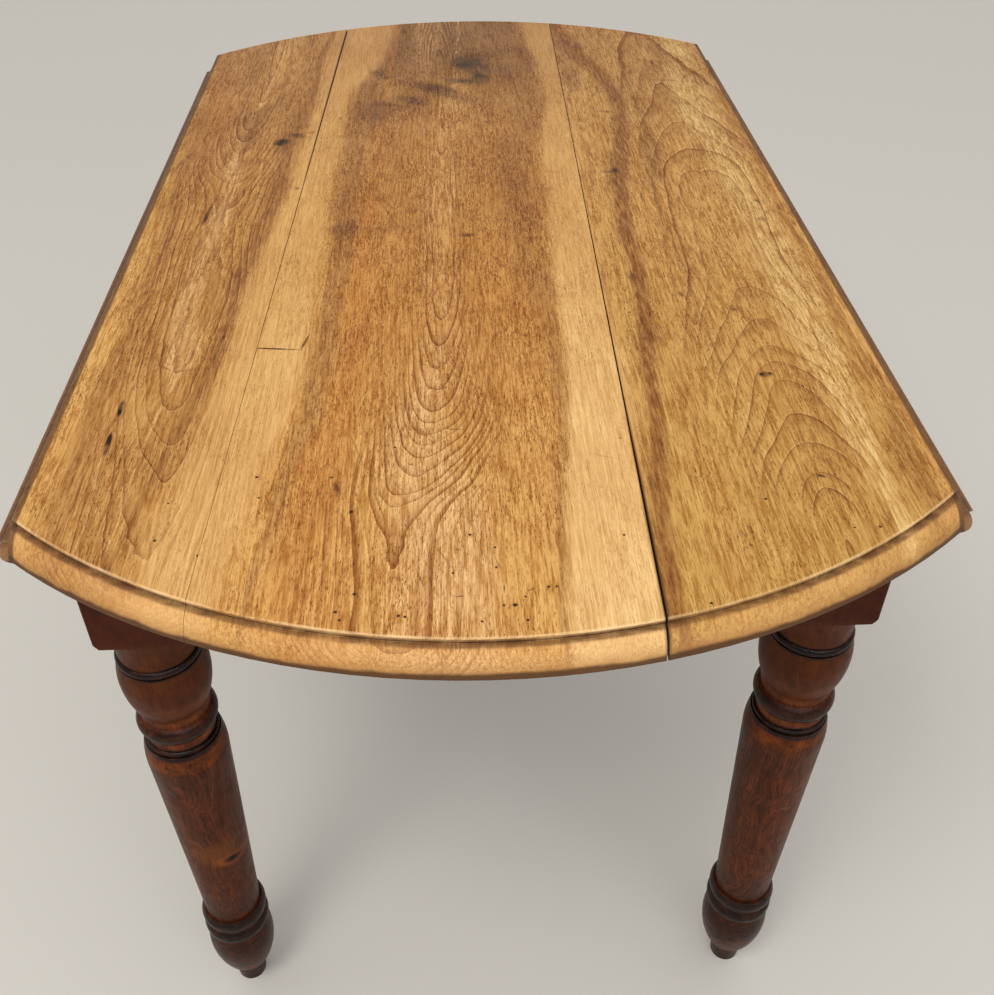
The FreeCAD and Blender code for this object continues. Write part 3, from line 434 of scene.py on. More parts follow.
print("late wood", [round(c, 2) for c in LATE_WOOD[:3]], "times the wood's own colour")

# %% [markdown]
# ## The fixed top: where the colours lie
#
# Three boards of old walnut, edge to edge.  Pale sapwood runs beside both seams, the middle
# board's heartwood is the brownest, and a dark streak wanders down the right board.  Each wood
# is paler at the near end and browner towards the far end.  Each course is given as
# millimetres along the table and millimetres across it.

# %% Broad tones of the top
# near, middle and far tone of each wood
SAP_TONES = [(-600, "#cda265"), (0, "#ca9d5c"), (600, "#b98b53")]
RIGHT_SAP_TONES = [(-600, "#dab378"), (0, "#cc9f5e"), (600, "#b58850")]
MIDDLE_TONES = [(-600, "#cfa25e"), (-200, "#bc8743"), (200, "#ba8949"), (450, "#91693c")]
LEFT_TONES = [(-600, "#ba8c4e"), (0, "#b78746"), (600, "#b5864e")]
RIGHT_TONES = [(-600, "#bb924d"), (0, "#c89c58"), (600, "#b68a50")]

LEFT_HEART_END = [(-620, -244), (-540, -231), (-480, -223), (-420, -217), (-300, -210),
                  (-240, -208), (-150, -206), (-60, -202), (60, -190), (180, -181),
                  (300, -178), (450, -177), (620, -170)]
MIDDLE_HEART_START = [(-620, -182), (-550, -172), (-450, -160), (-350, -147), (-250, -141),
                      (-100, -139), (100, -137), (270, -138), (330, -132), (375, -113),
                      (430, -101), (500, -88), (620, -82)]
MIDDLE_HEART_END = [(-620, 40), (-550, 47), (-450, 58), (-400, 62), (-300, 68), (-200, 70),
                    (0, 77), (100, 82), (200, 90), (300, 103), (420, 102), (500, 88), (620, 80)]
RIGHT_HEART_START = [(-620, 100), (-480, 104), (-300, 116), (-60, 117), (60, 121),
                     (140, 127), (240, 130), (320, 124), (620, 128)]
print("the middle heartwood is about", MIDDLE_HEART_END[6][1] - MIDDLE_HEART_START[5][1], "mm wide")

# %% [markdown]
# ## Streaks along the boards
#
# Heartwood is not one brown.  Bands of a darker or paler tone follow the rings for the whole
# length of a board.  Each streak has a middle and a half width that wander, a tone, and a
# strength; a half width near zero ends it.

# %% Streaks of the top
STREAKS = {
    "left_outer_sap": ([(-620, -330, 12), (-430, -326, 20), (-300, -320, 20), (-100, -318, 14),
                        (60, -322, 6), (620, -326, 6)], "#d5a862", 0.8),
    "left_outer_line": ([(-620, -296, 2), (-480, -292, 8), (-330, -300, 8), (-200, -292, 6),
                         (-60, -294, 6), (60, -304, 8), (150, -307, 6), (620, -305, 3)],
                        "#a0713a", 0.55),
    "left_orange": ([(-620, -285, 2), (0, -290, 3), (100, -288, 14), (200, -286, 20),
                     (300, -293, 20), (380, -302, 16), (450, -318, 8), (620, -330, 4)],
                    "#ad7640", 0.55),
    "left_pale_figure": ([(-620, -256, 1), (-330, -246, 1), (-298, -243, 7), (-272, -242, 16),
                          (-200, -252, 13), (-60, -250, 13), (20, -246, 11), (90, -250, 12),
                          (140, -250, 3), (330, -240, 4), (420, -235, 16), (620, -230, 14)],
                         "#d9b176", 0.75),
    "left_dark": ([(-620, -262, 1), (-480, -240, 3), (-400, -230, 5), (-300, -221, 8),
                   (-240, -214, 8), (-130, -211, 9), (0, -203, 12), (100, -196, 12),
                   (180, -193, 14), (250, -188, 14), (300, -184, 8), (440, -181, 5),
                   (620, -172, 3)], "#8f5f2c", 0.75),
    "left_inner_pale": ([(-620, -225, 2), (-160, -228, 1), (-60, -226, 9), (60, -222, 6),
                         (200, -222, 1), (300, -222, 8), (500, -220, 16), (620, -220, 14)],
                        "#c99c58", 0.6),
    "left_far_dark": ([(-620, -245, 1), (120, -245, 2), (200, -243, 16), (260, -240, 16),
                       (300, -222, 6), (620, -240, 1)], "#8c5f3b", 0.55),
    "left_far_grey": ([(-620, -262, 1), (330, -262, 3), (420, -268, 12), (480, -262, 14),
                       (620, -250, 10)], "#a1794c", 0.5),
    "middle_left_margin": ([(-620, -158, 3), (-450, -142, 8), (-330, -130, 13),
                            (-200, -128, 10), (-60, -122, 18), (60, -124, 14), (150, -125, 16),
                            (230, -112, 24), (330, -112, 22), (430, -92, 12), (620, -80, 8)],
                           "#936a40", 0.5),
    "middle_near_pale": ([(-620, -30, 40), (-480, -38, 36), (-400, -48, 26), (-330, -40, 14),
                          (-260, -30, 2), (620, 0, 1)], "#e4bf92", 0.65),
    "middle_left_orange": ([(-620, -120, 30), (-450, -118, 26), (-330, -105, 14),
                            (0, -100, 8), (620, -80, 4)], "#b87a38", 0.6),
    "middle_right_margin": ([(-620, 40, 3), (-450, 52, 6), (-330, 62, 8), (-200, 58, 16),
                             (0, 52, 24), (150, 60, 26), (300, 80, 20), (380, 78, 26),
                             (450, 84, 20), (620, 82, 14)], "#936638", 0.5),
    "middle_pale": ([(-620, -30, 36), (-480, -40, 36), (-400, -50, 30), (-330, -40, 22),
                     (-200, -30, 18), (-60, -30, 16), (100, -28, 16), (220, -18, 22),
                     (330, -5, 18), (350, -2, 2), (620, 0, 1)], "#d2a364", 0.55),
    "middle_far_pale": ([(-620, -45, 1), (330, -45, 4), (420, -48, 22), (500, -42, 24),
                         (620, -50, 20)], "#b48a5a", 0.6),
    "right_seam_brown": ([(-620, 110, 1), (280, 128, 2), (340, 140, 14), (430, 140, 16),
                          (540, 132, 12), (620, 128, 10)], "#9c7046", 0.7),
    "right_dark": ([(-620, 112, 6), (-480, 116, 8), (-420, 124, 10), (-300, 137, 11),
                    (-180, 147, 12), (-60, 152, 12), (68, 163, 13), (120, 170, 14),
                    (200, 180, 13), (300, 184, 13), (350, 178, 15), (420, 162, 16),
                    (500, 148, 14), (620, 130, 12)], "#885625", 0.85),
    "right_middle": ([(-620, 150, 4), (-400, 160, 16), (-250, 172, 22), (-100, 182, 26),
                      (60, 205, 18), (150, 205, 12), (300, 215, 6), (620, 220, 4)],
                     "#bd8a48", 0.3),
    "right_grey": ([(-620, 200, 1), (0, 195, 3), (60, 199, 13), (120, 204, 14), (190, 206, 5),
                    (620, 210, 1)], "#99713f", 0.6),
    "right_pale_outer": ([(-620, 284, 6), (-400, 278, 12), (-250, 280, 22), (-120, 282, 24),
                          (0, 285, 22), (120, 283, 22), (250, 280, 26), (420, 286, 22),
                          (620, 300, 10)], "#e2c383", 0.7),
    "right_edge": ([(-620, 300, 3), (-440, 303, 8), (-330, 311, 5), (0, 313, 4), (160, 318, 5),
                    (620, 322, 2)], "#a17238", 0.65),
    "right_outer_sap": ([(-620, 316, 10), (-420, 319, 8), (-200, 321, 6), (620, 326, 3)],
                        "#d5a262", 0.6),
}
print("streaks:", len(STREAKS))

# %% [markdown]
# ## Cathedral figure
#
# Each board has its own line of the heart and its own depth of it.  Where the depth shrinks
# lengthwise, the rings close to tongues, and they point to where the heart is deeper.

# %% Heart lines and depths
FIGURES = {
    "top_board_left": ([(-620, -236), (-294, -236), (37, -250), (172, -246), (355, -243),
                        (620, -250)],
                       [(-620, 66), (-450, 60), (-294, 52), (37, 46), (95, 38), (175, 26),
                        (265, 14), (365, 5), (450, 5), (620, 14)], 4.0),
    "top_board_centre": ([(-620, -68), (-515, -65), (-440, -50), (-340, -34), (-156, -28),
                          (94, -26), (212, -24), (620, -30)],
                         [(-620, 58), (-530, 57), (-445, 46), (-395, 36), (-340, 26),
                          (-230, 16), (-150, 13), (94, 9), (150, 6), (300, 4), (450, 9),
                          (620, 22)], 3.3),
    "top_board_right": ([(-620, 232), (-460, 233), (-275, 236), (-160, 240), (55, 250),
                         (135, 255), (620, 258)],
                        [(-620, 1), (-525, 3), (-480, 14), (-440, 29), (-398, 44),
                         (-325, 59), (-275, 72), (-160, 84), (55, 92), (135, 100),
                         (300, 112), (620, 130)], 7.2),
}
# flecks: width, length, and their strength along the board
FLECKED = {"top_board_left": (1.2, 16, [(-620, 0.6), (-200, 0.7), (620, 0.7)]),
           "top_board_centre": (1.2, 11, [(-620, 0.6), (-430, 0.7), (-100, 0.95), (250, 0.9),
                                          (620, 0.6)]),
           "top_board_right": (1.2, 16, [(-620, 0.5), (-350, 0.6), (0, 0.75), (620, 0.65)])}
print("figured boards:", sorted(FIGURES))

# %% [markdown]
# ## Knots, slits, stains and worm holes
#
# A knot is where a branch left the trunk: grey or black in the middle, with a brown shadow
# round it.  The small black dots are flight holes of furniture beetle, about 1.5 mm wide.
# The short black slits are old drying checks, and the thin lines are scratches.  All are
# ovals with a soft rim: place, radii across and along, turn in degrees, tone, strength, and
# the share of the radius that is solid.

# %% Marks on the top
MARKS = {
    "top_board_left": [
        ((-203, 157), (22, 38), 10, "#84592f", 0.6, 0.0),
        ((-207, 168), (12, 15), 20, "#3a2b1d", 0.92, 0.3),
        ((-190, 187), (17, 10), 25, "#573b24", 0.8, 0.1),
        ((-177, 195), (9, 6), 0, "#7a5531", 0.6, 0.1),
        ((-263, -12), (3, 30), 3, "#56331d", 0.85, 0.4),
        ((-264, -150), (2.4, 100), 0, "#a87a42", 0.5, 0.2),
        ((-265, -190), (3, 12), 0, "#86592e", 0.6, 0.2),
        ((-278, -369), (8, 46), 0, "#ad7a40", 0.5, 0.0),
        ((-278, -347), (2.7, 13), -2, "#241510", 0.97, 0.5),
        ((-278, -392), (2.5, 18), -2, "#241510", 0.97, 0.5),
        ((-256, -291), (2.6, 14), -52, "#a06c38", 0.7, 0.3),
        ((-238, -297), (2.6, 12), -105, "#a06c38", 0.7, 0.3),
        ((-276, -432), (6, 12), 0, "#a37440", 0.5, 0.0),
        ((-178, 44), (4, 5), 0, "#7b5530", 0.7, 0.2)],
    "top_board_centre": [
        ((-168, -268), (1.5, 27), 97, "#4b3019", 0.95, 0.4),
        ((-144, -258), (1.6, 15), 12, "#4b3019", 0.9, 0.4),
        ((-30, 318), (88, 22), 41, "#6b4526", 0.7, 0.0),
        ((-105, 258), (36, 62), 12, "#805534", 0.6, 0.2),
        ((58, 385), (36, 66), 0, "#7b5434", 0.55, 0.1),
        ((16, 440), (46, 60), 0, "#6e4d30", 0.6, 0.0),
        ((10, 424), (34, 42), 15, "#5f4126", 0.8, 0.2),
        ((12, 414), (24, 30), 15, "#46301d", 0.85, 0.1),
        ((34, 396), (11, 26), -12, "#4d351f", 0.75, 0.1),
        ((24, 368), (18, 38), -14, "#46301d", 0.85, 0.1),
        ((4, 354), (40, 20), 12, "#523822", 0.8, 0.0),
        ((-28, 330), (44, 20), 38, "#5b3e22", 0.75, 0.0),
        ((-62, 290), (36, 20), 42, "#613c1e", 0.85, 0.1),
        ((-84, 272), (34, 17), 10, "#6b4321", 0.7, 0.0),
        ((-106, 389), (9, 15), -15, "#59402c", 0.75, 0.2),
        ((-92, 372), (20, 6), -20, "#73523a", 0.6, 0.1),
        ((-122, -52), (24, 28), 0, "#7d502b", 0.65, 0.15),
        ((-80, -52), (44, 15), 0, "#9a6535", 0.45, 0.0),
        ((-5, -72), (13, 7), 0, "#7a4a24", 0.75, 0.2),
        ((-106, -452), (4, 13), -14, "#764a24", 0.75, 0.1),
        ((-55, 505), (3, 9), 8, "#64452c", 0.7, 0.1),
        ((-21, 526), (4, 5), 0, "#64452c", 0.7, 0.1)],
    "top_board_right": [
        ((158, 68), (7, 11), 0, "#452c16", 0.9, 0.25),
        ((150, 66), (14, 5), 0, "#6a4726", 0.55, 0.0),
        ((172, 237), (4, 6), 0, "#523419", 0.85, 0.3),
        ((164, 240), (9, 5), -20, "#855c33", 0.55, 0.0),
        ((226, -326), (8, 6), 0, "#7c5126", 0.85, 0.3),
        ((223, -326), (2.4, 2.6), 0, "#3b2411", 0.9, 0.4),
        ((230, -325), (2.4, 2.4), 0, "#3b2411", 0.8, 0.4),
        ((224, -224), (9, 9), 0, "#ad773b", 0.75, 0.3),
        ((223, -225), (4, 4), 0, "#6d451d", 0.9, 0.4),
        ((144, -163), (9, 12), 0, "#774c29", 0.75, 0.1),
        ((195, -172), (7, 8), 0, "#a17140", 0.6, 0.0),
        ((182, -197), (2, 7), -15, "#543818", 0.75, 0.2),
        ((293, -14), (3, 8), -12, "#74592f", 0.75, 0.1),
        ((287, -55), (6, 8), 0, "#86693a", 0.65, 0.1),
        ((252, 405), (4, 12), 0, "#83522e", 0.8, 0.1),
        ((250, 385), (6, 18), 0, "#a17145", 0.55, 0.0),
        ((258, 339), (26, 3), 8, "#8c6440", 0.65, 0.2),
        ((286, 352), (2.4, 18), 28, "#9a7546", 0.6, 0.2),
        ((166, -512), (7, 6), 0, "#93724f", 0.55, 0.0),
        ((235, -455), (4.5, 2.2), 25, "#4c3318", 0.85, 0.3)],
}
print("marks:", sum(len(marks) for marks in MARKS.values()))

# %% Worm holes, scratches and slits
# places and radii of the holes
HOLES = {
    "top_board_left": [(-223, -501, 1.7), (-192, -517, 1.7), (-221, -463, 1.2),
                       (-176, -537, 1.1), (-323, -441, 1.6), (-170, -385, 1.2)],
    "top_board_centre": [(-88, -557, 1.9), (-99, -572, 1.8), (-96, -579, 1.5), (-60, -577, 1.7),
                         (-56, -578, 1.6), (-94, -478, 2.2), (-163, -437, 1.9),
                         (-159, -460, 1.4), (-14, -505, 1.7), (2, -518, 1.5), (2, -537, 1.5),
                         (-26, -541, 1.4), (12, -571, 2.4), (5, -571, 1.3), (19, -564, 1.2),
                         (34, -556, 1.6), (39, -556, 1.3), (19, -584, 1.5), (-9, -584, 1.3),
                         (-14, -397, 1.3), (-66, -407, 1.4), (-110, -440, 1.6), (88, -510, 1.5),
                         (100, -404, 1.1), (3, -422, 1.1)],
    "top_board_right": [(133, -575, 1.6), (259, -510, 1.7), (242, -510, 1.2), (190, -478, 1.7),
                        (197, -395, 1.2), (132, -225, 1.5), (296, -268, 1.6), (245, -454, 1.2)],
}
# middle, half length, turn in degrees and strength of the scratches
SCRATCHES = {
    "top_board_left": [((-214, -268), 24, 93, 0.3), ((-252, -325), 12, -15, 0.4)],
    "top_board_centre": [((-93, -411), 34, 163, 0.5), ((-75, -473), 31, 165, 0.6),
                         ((-32, -525), 18, 155, 0.6), ((-46, -548), 14, 163, 0.5),
                         ((-22, -387), 11, 98, 0.8), ((-54, -428), 5, 112, 0.7),
                         ((-61, -455), 8, 146, 0.5), ((6, -556), 5, 4, 0.9),
                         ((23, -558), 4, 70, 0.9), ((-22, -562), 4, 85, 0.9),
                         ((12, -485), 12, 140, 0.3), ((85, -425), 19, 112, 0.35)],
    "top_board_right": [((128, -433), 20, 125, 0.3), ((184, -200), 7, -25, 0.5)],
}
HOLE_TONE = colour("#25150c")
SCRATCH_TONE = colour("#5a3818")
print("holes:", sum(len(holes) for holes in HOLES.values()),
      "scratches:", sum(len(lines) for lines in SCRATCHES.values()))

# %% [markdown]
# ## Wear, painted highlights and painted shade on the moulded edges
#
# The ends of the top and the rims of the leaves carry the same moulding: a short step down,
# and a quarter round below it.  Hands have rubbed it to a lighter tan, which also stands for a
# painted highlight on the upper round, and a painted highlight runs along its upper edge.  The
# step keeps a line of dark wax and painted shade, and the round is darker towards its lower
# edge, with dirt and painted shade where it turns under.  The back of a board was never
# finished at all.
#
# One function serves both, because all it asks is how far in from the outline a point lies,
# and how far below the polished face.

# %% Wear, painted highlights and painted shade of the mouldings
MOULDING = 16.5           # width of the moulding, measured in from the outline
FILLET = 3.4              # depth of the dark line, just above the ledge of the step
THICKNESS = 21
RUBBED_AND_HIGHLIGHT = colour("#cb9a60")
ARRIS_HIGHLIGHT = colour("#e8c592")
STEP_WAX_AND_SHADE = colour("#6f4825")
BROWNED = colour("#a0713f")
DIRT_AND_SHADE = colour("#4a2f1c")
BACK_PALE = colour("#83603f")
BACK_DARK = colour("#5f432b")


def moulding_wear_and_painted_light(tree, painted, place, inward, down):
    """Rub the moulding, paint its highlights and its shade, and bare the board's back."""
    patchy = grain(tree, place, 50, 60, 9.3, detail=3)
    # A lighter tan over the quarter round: rubbed wear, and a painted highlight on its upper part.
    on_it = add(tree, "ShaderNodeMapRange", [inward, MOULDING - 3, MOULDING - 1, 0.6, 0])
    painted = stain(tree, painted, RUBBED_AND_HIGHLIGHT, on_it, patchy)
    # A painted highlight along the upper edge, where the face turns down into the moulding.
    off = add(tree, "ShaderNodeMath", [inward, MOULDING + 0.4], operation="SUBTRACT")
    off = add(tree, "ShaderNodeMath", [off], operation="ABSOLUTE")
    edge = add(tree, "ShaderNodeMapRange", [off, 0.5, 1.4, 0.7, 0])
    painted = stain(tree, painted, ARRIS_HIGHLIGHT, edge, patchy)

    # Dark wax and painted shade on the wall of the step, below the face.
    sunk = add(tree, "ShaderNodeMapRange", [down, 0.9, 1.8, 0, 1])
    step = add(tree, "ShaderNodeMapRange", [inward, MOULDING - 5.5, MOULDING - 3.5, 0, 0.7])
    spots = grain(tree, place, 18, 6, 4.4, 0.4, 1.4, detail=3)
    step = add(tree, "ShaderNodeMath", [step, sunk], operation="MULTIPLY")
    painted = stain(tree, painted, STEP_WAX_AND_SHADE, step, spots)
    # A line of dirt and painted shade in the corner of the step, just above its ledge.
    corner = add(tree, "ShaderNodeMath", [down, FILLET], operation="SUBTRACT")
    corner = add(tree, "ShaderNodeMath", [corner], operation="ABSOLUTE")
    corner = add(tree, "ShaderNodeMapRange", [corner, 0.3, 0.9, 0.9, 0])
    painted = stain(tree, painted, DIRT_AND_SHADE, corner, spots)

    # Below the middle of the round, browner and then darker towards the lower edge, where the round
    # turns under: dirt and painted shade.
    ragged = grain(tree, place, 40, 14, 7.4, -1.4, 1.4, detail=3)
    low = add(tree, "ShaderNodeMath", [down, ragged])
    browned = add(tree, "ShaderNodeMapRange", [low, 8, 15, 0, 0.7])
    painted = stain(tree, painted, BROWNED, browned, spots)
    low = add(tree, "ShaderNodeMapRange", [low, THICKNESS - 8, THICKNESS - 5, 0, 0.9],
              interpolation_type="SMOOTHSTEP")
    painted = stain(tree, painted, DIRT_AND_SHADE, low)
    bare = stain(tree, BACK_PALE, BACK_DARK, grain(tree, place, 7, 150, 1.3, detail=4))
    back = add(tree, "ShaderNodeMapRange", [down, THICKNESS - 0.4, THICKNESS - 0.1, 0, 0.95])
    return stain(tree, painted, bare, back)


print("moulding", MOULDING, "mm wide on boards", THICKNESS, "mm thick")

# %% [markdown]
# ## The walnut of the fixed top
#
# The finish is wax over worn oil: satin, with an index of 1.5 and a roughness near 0.45.
# Dust and wear have broken up its mirror, so its specular level is low.
# The broad colour comes first, then the streaks and marks, then the fine grain, then the
# holes, the scratches and the dirt in the seams, and last the worn moulding with its painted
# highlights and shade, and a line of dirt and painted shade along the long edges.  The
# wandering of the borders has two parts: a slow drift, and a fine feathering along the fibres.

# %% Place of the top's edges and seams
END_RADIUS = 504.4        # the moulded ends are arcs of this outer radius
END_CENTRE = 110.1        # about points this far from the table's middle
TOP_HEIGHT = 750
HALF_WIDTH = 321.4
WOOD_RELIEF = 0.00012     # metres that the pores and fibres are sunk
# place and half width of the dirt in the two seams, and how dark it is along them
SEAMS = {"left": ([(-650, -195.9, 0.8), (0, -174.4, 0.8), (200, -167.7, 1.3), (650, -152.8, 1.9)],
                  [(-650, 0.15), (0, 0.2), (180, 0.75), (650, 0.9)]),
         "right": ([(-650, 102.3, 2.9), (-420, 107.9, 1.8), (0, 118.2, 0.8), (650, 134.0, 1.4)],
                   [(-650, 0.95), (-440, 0.9), (-340, 0.3), (100, 0.2), (300, 0.6), (650, 0.8)])}
SEAM_DIRT = colour("#52341c")


def inside_rim(tree, across, along, radius):
    """How far inside a round rim a point lies, given its place from the rim's centre."""
    out = add(tree, "ShaderNodeCombineXYZ", [across, along])
    out = add(tree, "ShaderNodeVectorMath", [out], output=1, operation="LENGTH")
    return add(tree, "ShaderNodeMath", [radius, out], operation="SUBTRACT")


def top_inward(tree, across, along):
    """How far in from the curved ends a point of the top lies, in millimetres."""
    along = add(tree, "ShaderNodeMath", [along], operation="ABSOLUTE")
    along = add(tree, "ShaderNodeMath", [along, END_CENTRE], operation="SUBTRACT")
    return inside_rim(tree, across, along, END_RADIUS)


print("seams:", sorted(SEAMS))

# %% Walnut of the top: broad colour
HEARTWOOD = {"left": LEFT_TONES, "centre": MIDDLE_TONES, "right": RIGHT_TONES}


def broad_colour(tree, place, across, share, side):
    """Sapwood, heartwood and streaks of one board, and where the heartwood is."""
    drift = grain(tree, place, 45, 200, 1.7, -5, 5)
    feather = grain(tree, place, 2.5, 60, 5.1, -2.8, 2.8, detail=3)
    loose = add(tree, "ShaderNodeMath", [across, drift])
    loose = add(tree, "ShaderNodeMath", [loose, feather])
    sap = tones(tree, share, SAP_TONES)
    if side == "left":
        heart = past(tree, loose, course(tree, share, LEFT_HEART_END), 24)
        heart = add(tree, "ShaderNodeMath", [1, heart], operation="SUBTRACT")
    elif side == "centre":
        start = past(tree, loose, course(tree, share, MIDDLE_HEART_START), 24)
        end = past(tree, loose, course(tree, share, MIDDLE_HEART_END), 18)
        heart = add(tree, "ShaderNodeMath", [start, end], operation="SUBTRACT")
        right_sap = tones(tree, share, RIGHT_SAP_TONES)
        sap = stain(tree, sap, right_sap, end)
    else:
        heart = past(tree, loose, course(tree, share, RIGHT_HEART_START), 16)
    painted = stain(tree, sap, tones(tree, share, HEARTWOOD[side]), heart)
    speckle = grain(tree, place, 2.4, 18, 9.1, 0.35, 1.4, detail=3)
    for name, (points, tone, strength) in STREAKS.items():
        if name.startswith(side.replace("centre", "middle")):
            here = streak(tree, loose, share, points)
            here = add(tree, "ShaderNodeMath", [here, speckle], operation="MULTIPLY")
            painted = stain(tree, painted, colour(tone), here, strength)
    cloud = grain(tree, place, 45, 110, 0.7, detail=3)
    painted = add(tree, "ShaderNodeMix", {0: 0.22, 6: painted, 7: cloud}, output=2,
                  data_type="RGBA", blend_type="SOFT_LIGHT")
    return painted, heart


print("heartwoods:", sorted(HEARTWOOD))

# %% Walnut of the top: marks and finish
def waxed_top(name):
    """The walnut of one board of the fixed top."""
    side = name.split("_")[-1]
    material, tree, shader = new_material("waxed_walnut_" + name, IOR=1.5,
                                          Specular_IOR_Level=0.12)
    place, across, along, height = wood_place(tree)
    share = share_along(tree, along)
    down = add(tree, "ShaderNodeMath", [TOP_HEIGHT, height], operation="SUBTRACT")
    painted, heart = broad_colour(tree, place, across, share, side)

    blur = grain(tree, place, 12, 18, 3.9, -0.55, 0.55, detail=3)
    for centre, radii, turned, tone, strength, core in MARKS[name]:
        here = oval(tree, place, centre, radii, turned, core)
        here = add(tree, "ShaderNodeMath", [here, blur, here], operation="MULTIPLY_ADD")
        painted = stain(tree, painted, colour(tone), here, strength)
    painted, relief = walnut_grain(tree, place, across, down, share, painted,
                                   FIGURES[name], heart, FLECKED[name])
    for x, y, radius in HOLES[name]:
        painted = stain(tree, painted, HOLE_TONE, oval(tree, place, (x, y), (radius, radius)))
    for centre, length, turned, strength in SCRATCHES[name]:
        here = oval(tree, place, centre, (0.8, length), turned, core=0.2)
        painted = stain(tree, painted, SCRATCH_TONE, here, strength)
    for seam, (points, darkness) in SEAMS.items():
        if side in (seam, "centre"):
            painted = stain(tree, painted, SEAM_DIRT, streak(tree, across, share, points),
                            course(tree, share, darkness))

    painted = moulding_wear_and_painted_light(tree, painted, place, top_inward(tree, across, along), down)
    # A dark line along the long edges, where the top meets the leaves: dirt and painted shade of
    # the gap.
    aside = add(tree, "ShaderNodeMath", [across], operation="ABSOLUTE")
    aside = add(tree, "ShaderNodeMapRange", [aside, HALF_WIDTH - 1.6, HALF_WIDTH - 0.2, 0, 0.8])
    painted = stain(tree, painted, DIRT_AND_SHADE, aside)
    dull = grain(tree, place, 60, 60, 7.7, 0.36, 0.56, detail=4)
    wire(tree, shader, painted, relief, WOOD_RELIEF, invert=True, dull=dull)
    dress(material, name)
    return material


for board_name in FIGURES:
    made = waxed_top(board_name)
    print(made.name, len(made.node_tree.nodes), "nodes")

# %% [markdown]
# ## The hanging leaves
#
# Each leaf is one wide board of the same walnut.  It hangs on edge, so the pattern runs
# along Y and spreads down Z.  The leaves are a little browner than most of the top, and the
# edge that hides in the joint under the top is darkened with dirt and painted shade.  The rim
# is part of a circle, and its radius follows from the leaf's own box: half its length, and its
# drop.

# %% Walnut of the leaves
LEAF_TONES = [(-480, "#b78247"), (-100, "#aa743c"), (250, "#a26e40"), (480, "#a27145")]
LEAF_FIGURE = ([(-620, 640), (-200, 650), (200, 622), (620, 634)],
               [(-620, 60), (-300, 45), (-60, 22), (40, 8), (160, 22), (400, 50), (620, 66)], 3.6)
LEAF_FLECKED = (1.6, 10, [(-620, 0.8), (620, 0.9)])
LEAF_STREAKS = [([(-620, 716, 10), (-100, 708, 16), (300, 716, 14), (620, 712, 8)],
                 "#cd9f5f", 0.6),
                ([(-620, 682, 8), (-100, 674, 12), (300, 684, 12), (620, 676, 6)],
                 "#7e5129", 0.55),
                ([(-620, 580, 12), (0, 570, 24), (620, 590, 12)], "#85582f", 0.45)]


def waxed_leaf(name, seed):
    """The walnut of one leaf, with the grain along the table."""
    material, tree, shader = new_material("waxed_walnut_" + name, IOR=1.5,
                                          Specular_IOR_Level=0.25)
    place, across, along, through = wood_place(tree, "zyx")
    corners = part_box(name)
    face = max(abs(corner[0]) for corner in corners) * MM
    end, joint = corners[1][1] * MM, corners[1][2] * MM
    low = corners[0][2] * MM
    radius = (end ** 2 + (joint - low) ** 2) / (2 * (joint - low))
    rise = add(tree, "ShaderNodeMath", [across, low + radius], operation="SUBTRACT")
    inward = inside_rim(tree, rise, along, radius)
    down = add(tree, "ShaderNodeMath", [through], operation="ABSOLUTE")
    down = add(tree, "ShaderNodeMath", [face, down], operation="SUBTRACT")

    place = add(tree, "ShaderNodeVectorMath", [place, (0, seed, seed)])
    loose = grain(tree, place, 45, 220, 2.9, -12, 12)
    loose = add(tree, "ShaderNodeMath", [across, loose])
    share = share_along(tree, along)
    painted = tones(tree, share, LEAF_TONES)
    for points, tone, strength in LEAF_STREAKS:
        here = streak(tree, loose, share, points)
        painted = stain(tree, painted, colour(tone), here, strength)
    painted, relief = walnut_grain(tree, place, loose, down, share, painted, LEAF_FIGURE, 0.9,
                                   LEAF_FLECKED)
    painted = moulding_wear_and_painted_light(tree, painted, place, inward, down)
    # The top edge of the leaf, in the joint under the top's rim, is darkened: dirt and painted
    # shade.
    hidden = add(tree, "ShaderNodeMapRange", [across, joint - 6, joint - 1, 0, 0.55])
    painted = stain(tree, painted, DIRT_AND_SHADE, hidden)
    dull = grain(tree, place, 60, 60, 7.7, 0.34, 0.52, detail=4)
    wire(tree, shader, painted, relief, WOOD_RELIEF, invert=True, dull=dull)
    dress(material, name)
    print(name, "rim radius", round(radius), "mm")
    return material


for leaf_name, leaf_seed in (("leaf_left", 40), ("leaf_right", 900)):
    made = waxed_leaf(leaf_name, leaf_seed)
    print(made.name, len(made.node_tree.nodes), "nodes")

# %% [markdown]
# ## The turned legs
#
# The legs are walnut too, stained dark and polished with shellac, and then a century of
# feet and dusters.  Stain gathers in the hollows and on the rings, where the polish is
# almost black; the shoulders and the coves are rubbed back to orange brown.  The colour
# therefore follows the height, and the grain follows the length of the leg.  Shellac is a
# thin clear skin, so a coat lies over the stained wood, which has next to no gloss of its
# own.  The coat is strongest on the black rings and gives them their glints.

# %% Tones of the legs
SHAFT = colour("#4d2611")
SHAFT_DARK = colour("#230e07")
RUSSET = colour("#6d3617")
EBONY = colour("#170b08")
BLOCK = colour("#3f1609")
BULB = colour("#50270f")
WORN = colour("#904819")

# heights in millimetres of the members that are nearly black: middle, half height, strength;
# the last two only darken the shaft a little towards its two ends
BLACK_MEMBERS = [(121, 12, 0.95), (141, 12, 0.95), (82, 34, 0.65), (444, 7, 0.85),
                 (468, 10, 0.7), (552, 6, 0.95), (10, 24, 0.65), (172, 26, 0.3),
                 (400, 22, 0.2)]
